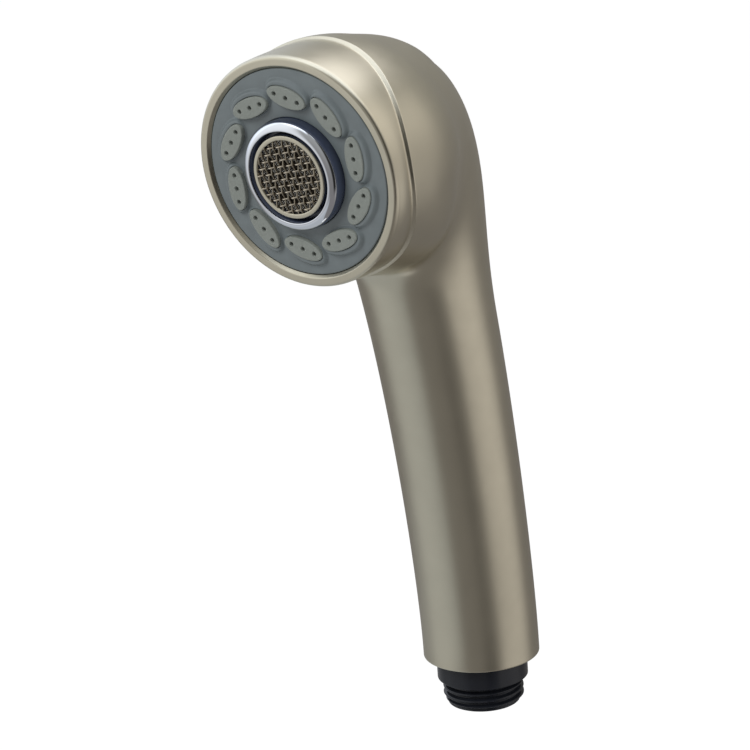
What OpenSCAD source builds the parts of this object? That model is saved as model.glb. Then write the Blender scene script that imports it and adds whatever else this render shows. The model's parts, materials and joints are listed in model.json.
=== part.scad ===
// Two-function pull-out spray head with a G1/2 hose connector.
//
// Frame: the origin is the centre of the hose thread's upper end. +Z runs up the
// hose axis, -Y is the side the water leaves from and X = 0 is the casing's mirror
// plane.
// Lengths are in millimetres.
//
// The casing is one smooth form: a level drum (the head) and a tapering tube that
// follows a Bezier spine (the handle), blended with a radius that is small in the
// crease under the head and large over the back. body_gap(p) is the distance of a
// point from that form, and every wall, seam and rim of the casing is found on it.

/* [Handle] */
// Outside diameter at the bottom rim
handle_d = 30.1; // [29:0.1:32]
// Outside diameter where the handle ends inside the head
neck_d = 35.8; // [34:0.1:37]
// Height of the bottom rim above the hose thread
rim_z = 7.9; // [7.5:0.1:8.5]
// Height over which the spine leaves the rim straight
straight_rise = 28.5; // [24:0.5:32]
// Forward lean of the spine at the neck control point
neck_lean = 14.35; // [13:0.1:15.5]
// Height of the spine's neck control point
neck_z = 141.6; // [140:0.1:143]
// Forward reach of the spine's upper end
top_lean = 35.1; // [33:0.1:37]
// Height of the spine's upper end
top_z = 156.1; // [155:0.1:157]
// Wall thickness of the casing
wall = 2.8; // [2.4:0.1:3]
// Rounding of the bottom rim
rim_round = 0.3; // [0.2:0.1:0.8]

/* [Head] */
// Outside diameter of the drum
head_d = 58; // [57:0.1:58.4]
// Height of the drum's level axis above the hose thread
head_z = 149.9; // [149:0.1:151]
// Depth of the domed back of the drum
dome_len = 30.7; // [29:0.1:33]
// Squareness of the dome, 2 for an ellipse
dome_power = 2.41; // [2.2:0.01:2.8]
// Blend in the crease under the head
crease_blend = 5; // [3:0.5:7]
// Blend over the back of the head
back_blend = 45; // [38:1:48]
// Rounding of the casing's front edge
edge_round = 0.8; // [0.6:0.1:1]
// Cove that leads from the front edge down to the ring's band
edge_cove = 1.5; // [1:0.1:1.8]

/* [Spray face] */
// Forward reach of the face's centre from the hose axis
face_reach = 62.6; // [62:0.1:63.2]
// Height of the face's centre above the hose thread
face_z = 149.4; // [148.8:0.1:150]
// Downward tilt of the face
face_tilt = 6.5; // [5.5:0.1:7.5]
// Diameter of the face plate
face_d = 50.4; // [49.8:0.1:50.6]
// Thickness of the face plate
face_t = 2; // [1.6:0.1:2]
// Outside diameter of the front ring's lip
lip_d = 56.5; // [56:0.1:57]
// How far the lip stands in front of the face plate
lip_out = 0.65; // [0.4:0.05:0.8]

/* [Spray nozzles] */
// Number of nozzle pads
pads = 10; // [8:1:10]
// Radius of the circle of pad centres
pad_ring_r = 18.5; // [18.3:0.1:18.6]
// Turn of the circle of pads about the face's axis
pad_start = 2.2; // [0:0.1:4]
// Length of a pad
pad_l = 10.9; // [9:0.1:11]
// Width of a pad
pad_w = 4.9; // [4:0.1:5]
// Turn of each pad from the tangent
pad_turn = 14; // [8:1:16]
// Diameter of a spray hole
hole_d = 1; // [0.7:0.1:1.2]
// Distance between the holes of a pad
hole_pitch = 3.3; // [2.8:0.1:3.4]

/* [Stream outlet] */
// Outside diameter of the selector sleeve
sleeve_d = 26.8; // [26.4:0.1:27]
// Bore of the selector sleeve
sleeve_bore_d = 22.4; // [22.2:0.1:22.6]
// How far the sleeve's crest stands in front of the face plate
sleeve_out = 3.9; // [3.6:0.1:4.4]
// Travel of the selector sleeve, pulled out for spray
selector_travel = 4; // [3:0.1:4]
// Pitch of the outlet screen's wires
wire_pitch = 1.2; // [1:0.05:1.5]
// Width of a wire of the outlet screen
wire_w = 0.5; // [0.4:0.05:0.6]

/* [Hose connector] */
// Major diameter of the G1/2 hose thread
thread_d = 20.955; // [20.9:0.005:21]
// Length of the full thread
thread_l = 4.2; // [4:0.1:4.4]
// Height of the collar's lower edge above the thread
relief_l = 1.7; // [1.4:0.1:2]
// Diameter of the collar above the thread
collar_d = 23.6; // [23:0.1:23.8]

/* [Hidden] */
$fn = 72;

NICKEL = [0.72, 0.68, 0.59];
CHROME = [0.86, 0.87, 0.9];
FACE_GREY = [0.42, 0.47, 0.51];
PAD_GREY = [0.56, 0.59, 0.57];
WATERWAY = [0.82, 0.82, 0.8];
BLACK = [0.1, 0.1, 0.11];
RUBBER = [0.16, 0.16, 0.17];
STEEL = [0.62, 0.6, 0.55];

head_r = head_d / 2;
face_r = face_d / 2;
lip_r = lip_d / 2;
sleeve_r = sleeve_d / 2;
sleeve_bore_r = sleeve_bore_d / 2;
face_y = -face_reach;

// The drum runs straight from the front to dome_y and closes over dome_len.
dome_y = -51.2;
// The blend grows from the crease (blend_y0) to the back (blend_y1).
blend_y0 = -40;
blend_y1 = 10.4;

// Control points (y, z) of the handle's spine.
SPINE = [[0, rim_z],
         [0, rim_z + straight_rise],
         [-neck_lean, neck_z],
         [-top_lean, top_z]];

// ---------------------------------------------------------------- numbers
function mix(a, b, t) = a + (b - a) * t;
function clamp(x, low, high) = min(max(x, low), high);
function smooth(x) = let (c = clamp(x, 0, 1)) c * c * (3 - 2 * c);

function bezier(q, t) =
    pow(1 - t, 3) * q[0] + 3 * pow(1 - t, 2) * t * q[1]
    + 3 * (1 - t) * t * t * q[2] + pow(t, 3) * q[3];
function bezier_dir(q, t) =
    3 * pow(1 - t, 2) * (q[1] - q[0]) + 6 * (1 - t) * t * (q[2] - q[1])
    + 3 * t * t * (q[3] - q[2]);

// ---------------------------------------------------------------- casing form
function handle_r(t) = mix(handle_d, neck_d, t * t) / 2;

// Spine parameter nearest to the point [y, z], by a few Newton steps.
function foot(p, t, steps = 5) =
    steps == 0 ? t :
    let (away = p - bezier(SPINE, t), along = bezier_dir(SPINE, t))
    foot(p, clamp(t + (away * along) / (along * along), 0, 1), steps - 1);

function handle_gap(p) =
    let (t = foot([p.y, p.z], clamp((p.z - rim_z) / (SPINE[3][1] - rim_z), 0, 1)),
         c = bezier(SPINE, t))
    norm([p.x, p.y - c[0], p.z - c[1]]) - handle_r(t);

// A superellipsoid's gap: its value less one, over the size of its slope.
function head_gap(p) =
    let (r = max(norm([p.x, p.z - head_z]), 0.01) / head_r,
         a = max(p.y - dome_y, 0) / dome_len,
         g = pow(pow(r, dome_power) + pow(a, dome_power), 1 / dome_power),
         slope = pow(g, 1 - dome_power)
                 * norm([pow(r, dome_power - 1) / head_r, pow(a, dome_power - 1) / dome_len]))
    (g - 1) / slope;

function body_gap(p) =
    let (a = head_gap(p),
         b = handle_gap(p),
         k = mix(crease_blend, back_blend, smooth((p.y - blend_y0) / (blend_y1 - blend_y0))),
         h = clamp(0.5 + 0.5 * (b - a) / k, 0, 1))
    mix(b, a, h) - k * h * (1 - h);

// Point on the ray from c along d where body_gap equals level.
function reach(c, d, level, low = 4, high = 50, steps = 14) =
    let (m = (low + high) / 2)
    steps == 0 ? c + m * d
    : body_gap(c + m * d) > level ? reach(c, d, level, low, m, steps - 1)
    : reach(c, d, level, m, high, steps - 1);

// ---------------------------------------------------------------- face and seam
// Face coordinates: r and angle around the face's axis (0 at the top), and the
// distance out in front of the plate.
function face_point(r, angle, out) =
    [r * sin(angle),
     face_y - out * cos(face_tilt) - r * cos(angle) * sin(face_tilt),
     face_z - out * sin(face_tilt) + r * cos(angle) * cos(face_tilt)];

// y where the casing's front edge starts to round off, at an angle round the drum's
// axis (0 at the crown): a mean and three waves. The edge is furthest forward at the
// sides and sweeps back over the crown and under the head.
EDGE_MEAN = -52.67;
EDGE_WAVES = [[2, 3.25], [3, 1.31], [4, -0.71]];
function edge_y(angle) =
    EDGE_MEAN + [for (w = EDGE_WAVES) w[1] * cos(w[0] * angle)] * [1, 1, 1];

// Depth below the drum's skin at a distance in front of the edge: a round through
// 45 degrees, a short cone and a cove that turns back through 45 degrees.
EDGE_START = 0.15;
EDGE_CONE = 0.14;
edge_mid = EDGE_START + edge_round * sin(45);
edge_end = edge_mid + EDGE_CONE + edge_cove * sin(45);
edge_step = (edge_round + edge_cove) * (1 - cos(45)) + EDGE_CONE;
function edge_drop(ahead) =
    ahead < EDGE_START ? 0
    : ahead < edge_mid ? edge_round - sqrt(pow(edge_round, 2) - pow(ahead - EDGE_START, 2))
    : ahead < edge_mid + EDGE_CONE ? edge_round * (1 - cos(45)) + ahead - edge_mid
    : let (left = max(edge_end - ahead, 0))
      edge_step - edge_cove + sqrt(pow(edge_cove, 2) - pow(left, 2));

// The casing ends on the cone's far side, and the ring starts a seam's gap further on.
seam_ahead = 0.95;
seam_gap = 0.1;

// Depth of the seam behind the face plate, at an angle round the drum's axis.
function seam_depth(angle) =
    (edge_y(angle) - seam_ahead - face_y) * cos(face_tilt)
    + (head_z + head_r * cos(angle) - face_z) * sin(face_tilt);

// ---------------------------------------------------------------- casing sections
SIDES = 48;
HANDLE_RINGS = 11;
FAN_RINGS = 11;
FRONT_RINGS = 5;
NECK_T = 0.665;
PIVOT_GAP = 2.5;

// A section is a centre and the direction of its angle 0, which turns from the
// back of the handle to the top of the head.
function handle_section(t) =
    let (c = bezier(SPINE, t), d = bezier_dir(SPINE, t))
    [[0, c[0], c[1]], [0, d[1], -d[0]] / norm(d)];

// Past the neck the sections fan about a line just outside the crease.
neck = handle_section(NECK_T);
neck_reach = handle_r(NECK_T) + PIVOT_GAP;
pivot = neck[0] - neck_reach * neck[1];
neck_angle = atan2(neck[1].z, neck[1].y);
function fan_section(s) =
    let (a = mix(neck_angle, 90, s), e = [0, cos(a), sin(a)])
    [pivot + mix(neck_reach, head_z - pivot.z, s) * e, e];

function around(section, level) =
    [for (i = [0 : SIDES - 1])
        let (a = i * 360 / SIDES)
        reach(section[0], sin(a) * [1, 0, 0] + cos(a) * section[1], level)];

// A point and a loop on the drum, at a distance in front of the edge and a level of
// body_gap.
function edge_point(angle, ahead, level) =
    reach([0, edge_y(angle) - ahead, head_z], [sin(angle), 0, cos(angle)], level);
function edge_loop(ahead, level, sides = SIDES) =
    [for (i = [0 : sides - 1]) edge_point(i * 360 / sides, ahead, level)];

// Loops between the last fan section and a distance in front of the edge.
function front_loop(s, ahead, level) =
    [for (i = [0 : SIDES - 1])
        let (a = i * 360 / SIDES)
        reach([0, mix(pivot.y, edge_y(a) - ahead, s), head_z], [sin(a), 0, cos(a)], level)];

// Closed skin through a list of loops with the same number of points, where the
// last loop joins the first one again.
module loop_solid(loops) {
    n = len(loops[0]);
    m = len(loops);
    polyhedron(
        points = [for (l = loops) each l],
        faces = [for (j = [0 : m - 1], i = [0 : n - 1])
                    let (a = j * n + i,
                         b = j * n + (i + 1) % n,
                         c = ((j + 1) % m) * n + (i + 1) % n,
                         d = ((j + 1) % m) * n + i)
                    each [[a, b, c], [a, c, d]]],
        convexity = 6);
}

module body_shell() {
    low = [[0, 0, rim_z], [0, 1, 0]];
    rim = [for (a = [0 : 45 : 90])
              around([low[0] + [0, 0, rim_round * (1 - cos(a))], low[1]],
                     -rim_round * (1 - sin(a)))];
    stem_t = 0.013;
    outer = concat(
        rim,
        [for (i = [0 : HANDLE_RINGS])
            around(handle_section(mix(stem_t, NECK_T, i / HANDLE_RINGS)), 0)],
        [for (i = [1 : FAN_RINGS]) around(fan_section(i / FAN_RINGS), 0)],
        [for (i = [1 : FRONT_RINGS]) front_loop(i / FRONT_RINGS, 0, 0)]);
    edge = [for (ahead = [0.4, 0.57, edge_mid, seam_ahead]) edge_loop(ahead, -edge_drop(ahead))];
    inner = concat(
        [edge_loop(seam_ahead, -wall)],
        [for (i = [FRONT_RINGS - 1 : -1 : 1]) front_loop(i / FRONT_RINGS, seam_ahead, -wall)],
        [for (i = [FAN_RINGS : -1 : 1]) around(fan_section(i / FAN_RINGS), -wall)],
        [for (i = [HANDLE_RINGS : -1 : 1])
            around(handle_section(mix(stem_t, NECK_T, i / HANDLE_RINGS)), -wall)],
        [around(low, -wall)]);
    color(NICKEL)
        loop_solid(concat(outer, edge, inner));
}

// The ring's lip surrounds the face plate: a chamfer inside, a narrow flat and a
// rounded outer edge. Its band runs back from the lip, a little convex, and ends in
// the cove at the casing's edge. A skirt centres it inside the casing.
module front_ring() {
    sides = 60;
    edge_gap = 0.1;
    chamfer = 0.7;
    inner_edge = face_r + edge_gap;
    lip_round = lip_out + 0.1;
    bulge = 0.15;
    inner_r = 22.6;
    skirt = 3.4;
    skirt_gap = 0.3;
    ledge = face_t + edge_gap;
    seam_at = seam_ahead + seam_gap;
    angles = [for (i = [0 : sides - 1]) i * 360 / sides];
    function face_loop(r, out) = [for (t = angles) face_point(r, t, out)];
    function band_loop(s) =
        [for (t = angles)
            mix(face_point(lip_r, t, -0.1), edge_point(t, edge_end, -edge_step), s)
            + bulge * sin(180 * s) * [sin(t), 0, cos(t)]];
    loops = concat(
        [face_loop(inner_r, -ledge)],
        [[for (t = angles) face_point(inner_r, t, -seam_depth(t) - skirt)]],
        [edge_loop(seam_at - skirt, -wall - skirt_gap, sides)],
        [edge_loop(seam_at, -wall - skirt_gap, sides)],
        [for (ahead = [seam_at, 1.3, 1.6]) edge_loop(ahead, -edge_drop(ahead), sides)],
        [for (s = [1 : -0.25 : 0.25]) band_loop(s)],
        [for (a = [0 : 30 : 90])
            face_loop(lip_r - lip_round * (1 - cos(a)), -0.1 + lip_round * sin(a))],
        [face_loop(inner_edge + chamfer, lip_out)],
        [face_loop(inner_edge, -edge_gap)],
        [face_loop(inner_edge, -ledge)]);
    color(NICKEL)
        loop_solid(loops);
}

// ---------------------------------------------------------------- face pieces
// Places its children in face coordinates: x right, y up, z out of the face.
module on_face() {
    translate([0, face_y, face_z])
        rotate([90 + face_tilt, 0, 0])
            children();
}

// A ring or disc between two depths behind the face (negative is in front).
module disc(r, from, to, bore = 0) {
    translate([0, 0, -to])
        difference() {
            cylinder(h = to - from, r = r);
            if (bore > 0)
                translate([0, 0, -1])
                    cylinder(h = to - from + 2, r = bore);
        }
}

// Outline of a nozzle pad, grown by a margin.
module oval(margin = 0) {
    polygon([for (a = [0 : 360 / 28 : 359])
                [(pad_l / 2 + margin) * cos(a), (pad_w / 2 + margin) * sin(a)]]);
}

// Repeats its children at every pad.
module at_pads(ring_r = pad_ring_r) {
    for (i = [0 : pads - 1])
        rotate(-pad_start - i * 360 / pads)
            translate([0, ring_r])
                rotate(-pad_turn)
                    children();
}

boss_h = 1;
boss_margin = 0.85;
boss_shift = 0.65;
pad_h = 1.45;
membrane_from = face_t + 0.05;
membrane_to = face_t + 1.2;
backplate_from = membrane_to + 0.05;
backplate_to = backplate_from + 1.7;
inside_r = 22.4;
selector_well_r = 15.3;

module spray_face() {
    color(FACE_GREY)
        on_face()
            difference() {
                union() {
                    disc(face_r, 0, face_t);
                    at_pads(pad_ring_r + boss_shift)
                        translate([0, 0, -0.1])
                            linear_extrude(boss_h + 0.1)
                                oval(boss_margin);
                }
                disc(sleeve_r + 0.1, -1, face_t + 1);
                at_pads()
                    translate([0, 0, -face_t - 1])
                        linear_extrude(face_t + boss_h + 2)
                            oval(0.08);
            }
}

module nozzle_membrane() {
    color(PAD_GREY)
        on_face()
            difference() {
                union() {
                    disc(inside_r, membrane_from, membrane_to, selector_well_r);
                    at_pads()
                        translate([0, 0, -membrane_to + 0.2])
                            linear_extrude(membrane_to - 0.2 + pad_h)
                                oval();
                }
                at_pads()
                    for (k = [-1 : 1])
                        translate([k * hole_pitch, 0, -membrane_to - 1])
                            cylinder(h = membrane_to + pad_h + 2, d = hole_d, $fn = 24);
            }
}

module spray_backplate() {
    slot_l = 2 * hole_pitch;
    color(WATERWAY)
        on_face()
            difference() {
                disc(inside_r, backplate_from, backplate_to, selector_well_r);
                at_pads()
                    translate([0, 0, -backplate_to - 1])
                        linear_extrude(backplate_to)
                            union() {
                                square([slot_l, 2], center = true);
                                translate([slot_l / 2, 0]) circle(r = 1, $fn = 24);
                                translate([-slot_l / 2, 0]) circle(r = 1, $fn = 24);
                            }
            }
}

// An O-ring: mean radius, cord radius and height of its plane.
module o_ring(mean_r, cord_r, z) {
    translate([0, 0, z])
        rotate_extrude()
            translate([mean_r, 0])
                circle(r = cord_r, $fn = 24);
}

seal_cord_r = 0.5;
module membrane_seal() {
    color(RUBBER)
        on_face()
            o_ring(21.3, seal_cord_r, -backplate_to - seal_cord_r - 0.02);
}

// ---------------------------------------------------------------- manifold
// The chamber is a bore on the face's axis. Water enters it behind the spool and
// leaves through the spool, or through the two galleries to the spray nozzles.
floor_from = 9;
floor_to = 11;
chamber_r = 8.6;
chamber_out_r = 11.2;
chamber_to = 31;
gallery_depth = 18.4;
gallery_x = 18.6;
gallery_bore_r = 1.5;
gallery_out_r = 3.2;
plenum_in_r = 17;
plenum_out_r = 20.3;

// The inlet boss points from the chamber's rear down towards the water tube.
inlet_depth = 27.4;
inlet_top = [0,
             face_y + inlet_depth * cos(face_tilt),
             face_z + inlet_depth * sin(face_tilt)];
inlet_low = [0, -19.6, 127.6];
inlet_l = norm(inlet_low - inlet_top);
inlet_dir = (inlet_low - inlet_top) / inlet_l;
inlet_turn = atan2(inlet_dir.y, -inlet_dir.z);
inlet_out_r = 8.4;
tube_r = 6;
tube_bore_r = 4.5;
tube_fit = 0.1;

// O-rings on the water tube, and the grooves that hold them.
tube_ring_cord_r = 0.55;
tube_ring_r = tube_r + 0.62;
tube_groove_r = tube_r + 1.2;
tube_groove_h = 1.4;
upper_ring_at = 4;
lower_ring_z = 24.6;

// Places its children at a point of the inlet's axis with +Z running down it.
module on_inlet(along) {
    translate(inlet_low - along * inlet_dir)
        rotate([180 + inlet_turn, 0, 0])
            children();
}

module gallery_solid(side) {
    translate([0, 0, -gallery_depth])
        rotate([0, side * 90, 0])
            cylinder(h = gallery_x, r = gallery_out_r);
    translate([side * gallery_x, 0, -gallery_depth]) {
        sphere(r = gallery_out_r);
        cylinder(h = gallery_depth - floor_from - 0.5, r = gallery_out_r);
    }
}

module gallery_bore(side) {
    translate([0, 0, -gallery_depth])
        rotate([0, side * 90, 0])
            cylinder(h = gallery_x, r = gallery_bore_r);
    translate([side * gallery_x, 0, -gallery_depth])
        cylinder(h = gallery_depth, r = gallery_bore_r);
}

module head_manifold() {
    ring_top = floor_from + 0.5;
    color(WATERWAY)
        difference() {
            union() {
                on_face() {
                    disc(inside_r, floor_from, floor_to);
                    disc(inside_r, backplate_to + 2 * seal_cord_r + 0.05, ring_top, plenum_out_r);
                    disc(plenum_in_r, backplate_to + 0.05, ring_top, selector_well_r);
                    disc(chamber_out_r, floor_from, chamber_to + 2);
                    for (side = [-1, 1])
                        gallery_solid(side);
                }
                on_inlet(inlet_l)
                    cylinder(h = inlet_l, r = inlet_out_r);
            }
            on_face() {
                disc(chamber_r, floor_from - 1, chamber_to);
                disc(pintle_r + 0.05, chamber_to - 1, chamber_to + 1.85);
                for (side = [-1, 1])
                    gallery_bore(side);
            }
            on_inlet(inlet_l)
                cylinder(h = inlet_l + 1, r = tube_bore_r);
            on_inlet(9)
                cylinder(h = 12, r = tube_r + tube_fit);
            on_inlet(upper_ring_at + tube_groove_h / 2)
                cylinder(h = tube_groove_h, r = tube_groove_r);
        }
}

// ---------------------------------------------------------------- selector (slides out)
sleeve_to = 7.2;
rim_depth = -3.65;

module aerator_sleeve() {
    flange_r = selector_well_r - 0.3;
    color(CHROME)
        on_face()
            rotate_extrude()
                polygon(concat(
                    [[sleeve_bore_r, -sleeve_to],
                     [flange_r, -sleeve_to],
                     [flange_r, -sleeve_to + 1],
                     [sleeve_r, -sleeve_to + 1]],
                    [for (a = [0 : 15 : 150])
                        [sleeve_r - 1.25 + 1.25 * cos(a), sleeve_out - 1.7 + 1.7 * sin(a)]],
                    [[sleeve_bore_r, -rim_depth - 0.4]]));
}

module aerator_housing() {
    color(NICKEL)
        on_face() {
            difference() {
                union() {
                    disc(10.1, rim_depth, 0);
                    disc(sleeve_bore_r - 0.05, -0.6, 2.8);
                }
                disc(9.05, rim_depth + 0.35, 4);
                disc(8.9, rim_depth - 1, 1);
            }
        }
}

// Woven screen, laid flat: a disc pierced by a square grid.
module aerator_screen() {
    open = wire_pitch - wire_w;
    reach_n = floor(8.2 / wire_pitch);
    color(STEEL)
        on_face()
            translate([0, 0, -rim_depth - 0.85])
                linear_extrude(0.45)
                    difference() {
                        circle(r = 9);
                        for (i = [-reach_n : reach_n], j = [-reach_n : reach_n])
                            if (norm([i, j]) * wire_pitch < 8.1)
                                translate([i, j] * wire_pitch)
                                    square(open, center = true);
                    }
}

module flow_straightener() {
    color(WATERWAY)
        on_face()
            difference() {
                disc(8.9, rim_depth + 1, 1.1);
                for (ring = [[1, 0], [6, 3], [12, 6]], i = [0 : ring[0] - 1])
                    rotate(i * 360 / ring[0])
                        translate([ring[1], 0, -3])
                            cylinder(h = 8, r = 1.15, $fn = 24);
            }
}

module flow_regulator() {
    color([0.85, 0.55, 0.6])
        on_face()
            difference() {
                disc(8.9, 1.2, 2.7);
                disc(2.2, 1, 3);
                for (i = [0 : 5])
                    rotate(i * 60)
                        translate([5.6, 0, -3])
                            cylinder(h = 3, r = 0.8, $fn = 24);
            }
}

module aerator_gasket() {
    color(RUBBER)
        on_face()
            disc(sleeve_bore_r - 0.1, 2.85, 4.15, 7);
}

// The spool's hollow stem carries two lands with O-rings. At rest the galleries
// lie between the lands and water runs through the stem to the outlet. Pulled
// out, the rear land passes the galleries and the stem's seat meets the pintle.
stem_r = 7.4;
stem_bore_r = 4.6;
stem_to = 22.4;
land_r = chamber_r - 0.1;
land_half = 1.6;
o_cord_r = 0.75;
o_ring_depths = [14, 20.8];
groove_floor_r = land_r - 2 * o_cord_r + 0.05;
valve_seat_r = 2.9;
valve_seat_from = 17.2;
valve_seat_to = 18.7;

module diverter_spool() {
    color(BLACK)
        on_face()
            difference() {
                union() {
                    disc(sleeve_bore_r - 0.05, 4.2, 6.2);
                    disc(stem_r, 5, stem_to);
                    for (d = o_ring_depths)
                        disc(land_r, d - land_half, d + land_half);
                }
                disc(stem_bore_r, 3, valve_seat_from);
                disc(valve_seat_r, valve_seat_from - 1, valve_seat_to + 1);
                disc(stem_bore_r, valve_seat_to, stem_to + 1);
                for (d = o_ring_depths)
                    disc(chamber_r + 2, d - o_cord_r - 0.05, d + o_cord_r + 0.05, groove_floor_r);
            }
}

module spool_o_rings() {
    color(RUBBER)
        on_face()
            for (d = o_ring_depths)
                o_ring(chamber_r - 0.03 - o_cord_r, o_cord_r, -d);
}

// The pintle is fixed in the chamber's rear wall. Its head closes the spool's seat
// when the spool has moved out by its full travel.
pintle_r = 1.3;
pintle_seal_to = valve_seat_from - selector_travel - 0.05;
pintle_seal_from = pintle_seal_to - 1;

module diverter_pintle() {
    color(STEEL)
        on_face()
            union() {
                disc(3.4, pintle_seal_from - 1, pintle_seal_from - 0.02);
                disc(pintle_r, pintle_seal_from - 0.5, chamber_to + 1.8);
                disc(2.4, chamber_to - 0.8, chamber_to - 0.05);
            }
}

module pintle_seal() {
    color(RUBBER)
        on_face()
            disc(3.9, pintle_seal_from, pintle_seal_to, pintle_r + 0.03);
}

// ---------------------------------------------------------------- handle pieces
// The water tube runs from the connector's socket into the manifold's inlet. Its
// ends are straight, and a Bezier curve joins them.
socket_z = 20;
tube_rise = 30;
tube_top_in = 8.6;
TUBE_BEND = [[0, tube_rise],
             [0, 66],
             [inlet_low.y, inlet_low.z] + 34 * [inlet_dir.y, inlet_dir.z],
             [inlet_low.y, inlet_low.z] + 2 * [inlet_dir.y, inlet_dir.z]];
module water_tube() {
    sides = 20;
    rings = 22;
    low = [0, socket_z + 0.2];
    high = [inlet_low.y, inlet_low.z] - tube_top_in * [inlet_dir.y, inlet_dir.z];
    function tube_loop(c, d, r) =
        let (e = [0, d[1], -d[0]] / norm(d))
        [for (i = [0 : sides - 1])
            let (a = i * 360 / sides)
            [0, c[0], c[1]] + r * (sin(a) * [1, 0, 0] + cos(a) * e)];
    function bend_loop(t, r) = tube_loop(bezier(TUBE_BEND, t), bezier_dir(TUBE_BEND, t), r);
    function tube_loops(r) =
        concat([tube_loop(low, [0, 1], r)],
               [for (i = [0 : rings]) bend_loop(i / rings, r)],
               [tube_loop(high, bezier_dir(TUBE_BEND, 1), r)]);
    inner = tube_loops(tube_bore_r);
    color(WATERWAY)
        loop_solid(concat(
            tube_loops(tube_r),
            [for (i = [len(inner) - 1 : -1 : 0]) inner[i]]));
}

module tube_upper_o_ring() {
    color(RUBBER)
        on_inlet(upper_ring_at)
            o_ring(tube_ring_r, tube_ring_cord_r, 0);
}

module tube_lower_o_ring() {
    color(RUBBER)
        o_ring(tube_ring_r, tube_ring_cord_r, lower_ring_z);
}

shank_r = 9.3;
shank_top = 26;
shank_ring_cord_r = 0.8;
shank_groove_r = shank_r - 1.55;
shank_groove_half = 0.95;
shank_ring_z = 19.6;
collar_top = 14;

// The insert is bonded into the handle and takes the connector's shank.
module handle_insert() {
    low = collar_top + 0.4;
    color(WATERWAY)
        difference() {
            union() {
                translate([0, 0, low])
                    cylinder(h = 2, r = 11.6);
                translate([0, 0, low])
                    cylinder(h = 15, r = 10.4);
            }
            translate([0, 0, low - 1])
                cylinder(h = shank_top - low + 1.1, r = shank_r + 0.1);
            translate([0, 0, low])
                cylinder(h = 20, r = tube_r + 0.6);
        }
}

// Collar, shank and socket are one turned piece. The crests of the thread lie on
// a plain cylinder of the major diameter, between a pilot and a relief groove.
module hose_connector() {
    thread_r = thread_d / 2;
    collar_r = collar_d / 2;
    pilot_r = 9.4;
    pilot_l = 1.05;
    end_z = -thread_l - pilot_l;
    color(BLACK)
        rotate_extrude()
            polygon([[valve_bore_r, end_z],
                     [pilot_r - 0.25, end_z],
                     [pilot_r, end_z + 0.25],
                     [pilot_r, -thread_l - 0.25],
                     [thread_r, -thread_l],
                     [thread_r, 0],
                     [pilot_r, 0.6],
                     [pilot_r, relief_l],
                     [collar_r - 0.1, relief_l],
                     [collar_r, relief_l + 0.1],
                     [collar_r, rim_z],
                     [collar_r - 0.3, rim_z],
                     [collar_r - 0.3, collar_top],
                     [shank_r, collar_top + 0.3],
                     [shank_r, shank_ring_z - shank_groove_half],
                     [shank_groove_r, shank_ring_z - shank_groove_half],
                     [shank_groove_r, shank_ring_z + shank_groove_half],
                     [shank_r, shank_ring_z + shank_groove_half],
                     [shank_r, shank_top],
                     [tube_r + tube_fit, shank_top],
                     [tube_r + tube_fit, lower_ring_z + tube_groove_h / 2],
                     [tube_groove_r, lower_ring_z + tube_groove_h / 2],
                     [tube_groove_r, lower_ring_z - tube_groove_h / 2],
                     [tube_r + tube_fit, lower_ring_z - tube_groove_h / 2],
                     [tube_r + tube_fit, socket_z],
                     [tube_bore_r, socket_z],
                     [tube_bore_r, valve_top + 2],
                     [valve_bore_r, valve_top + 2]]);
}

module connector_o_ring() {
    color(RUBBER)
        o_ring(shank_r + 0.07 - shank_ring_cord_r, shank_ring_cord_r, shank_ring_z);
}

// ---------------------------------------------------------------- check valve
valve_bore_r = 7.1;
valve_low = -2.4;
valve_top = 12.6;
valve_inlet_r = 3.4;
seat_z = 1;
poppet_z = seat_z + 0.2;
guide_h = 1.6;
guide_r = 1.3;
cartridge_ring_z = 5;
cartridge_ring_cord_r = 0.5;

module check_valve_body() {
    groove_half = cartridge_ring_cord_r + 0.1;
    color(WATERWAY)
        difference() {
            translate([0, 0, valve_low])
                cylinder(h = valve_top - valve_low, r = valve_bore_r - 0.1);
            translate([0, 0, cartridge_ring_z - groove_half])
                difference() {
                    cylinder(h = 2 * groove_half, r = valve_bore_r + 1);
                    translate([0, 0, -1])
                        cylinder(h = 4, r = valve_bore_r - 1.1);
                }
            translate([0, 0, valve_low - 1])
                cylinder(h = 5, r = valve_inlet_r);
            translate([0, 0, seat_z])
                cylinder(h = valve_top - seat_z - guide_h, r = 5.4);
            translate([0, 0, seat_z])
                cylinder(h = 30, r = guide_r);
            for (i = [0 : 5])
                rotate(i * 60)
                    translate([3.5, 0, valve_top - 3])
                        cylinder(h = 6, r = 1.3, $fn = 24);
        }
}

module check_valve_o_ring() {
    color(RUBBER)
        o_ring(valve_bore_r - 0.05 - cartridge_ring_cord_r, cartridge_ring_cord_r, cartridge_ring_z);
}

module check_valve_poppet() {
    stem = guide_r - 0.06;
    color(WATERWAY)
        rotate_extrude()
            polygon([[0, poppet_z],
                     [3, poppet_z],
                     [3, poppet_z + 0.7],
                     [4.9, poppet_z + 0.7],
                     [4.9, poppet_z + 1.7],
                     [2, poppet_z + 1.9],
                     [stem, poppet_z + 2.6],
                     [stem, valve_top + 0.3],
                     [0, valve_top + 0.5]]);
}

module poppet_seal() {
    color(RUBBER)
        translate([0, 0, poppet_z - 0.15])
            difference() {
                cylinder(h = 0.8, r = 4.6);
                translate([0, 0, -1])
                    cylinder(h = 3, r = 3.05);
            }
}

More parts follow.
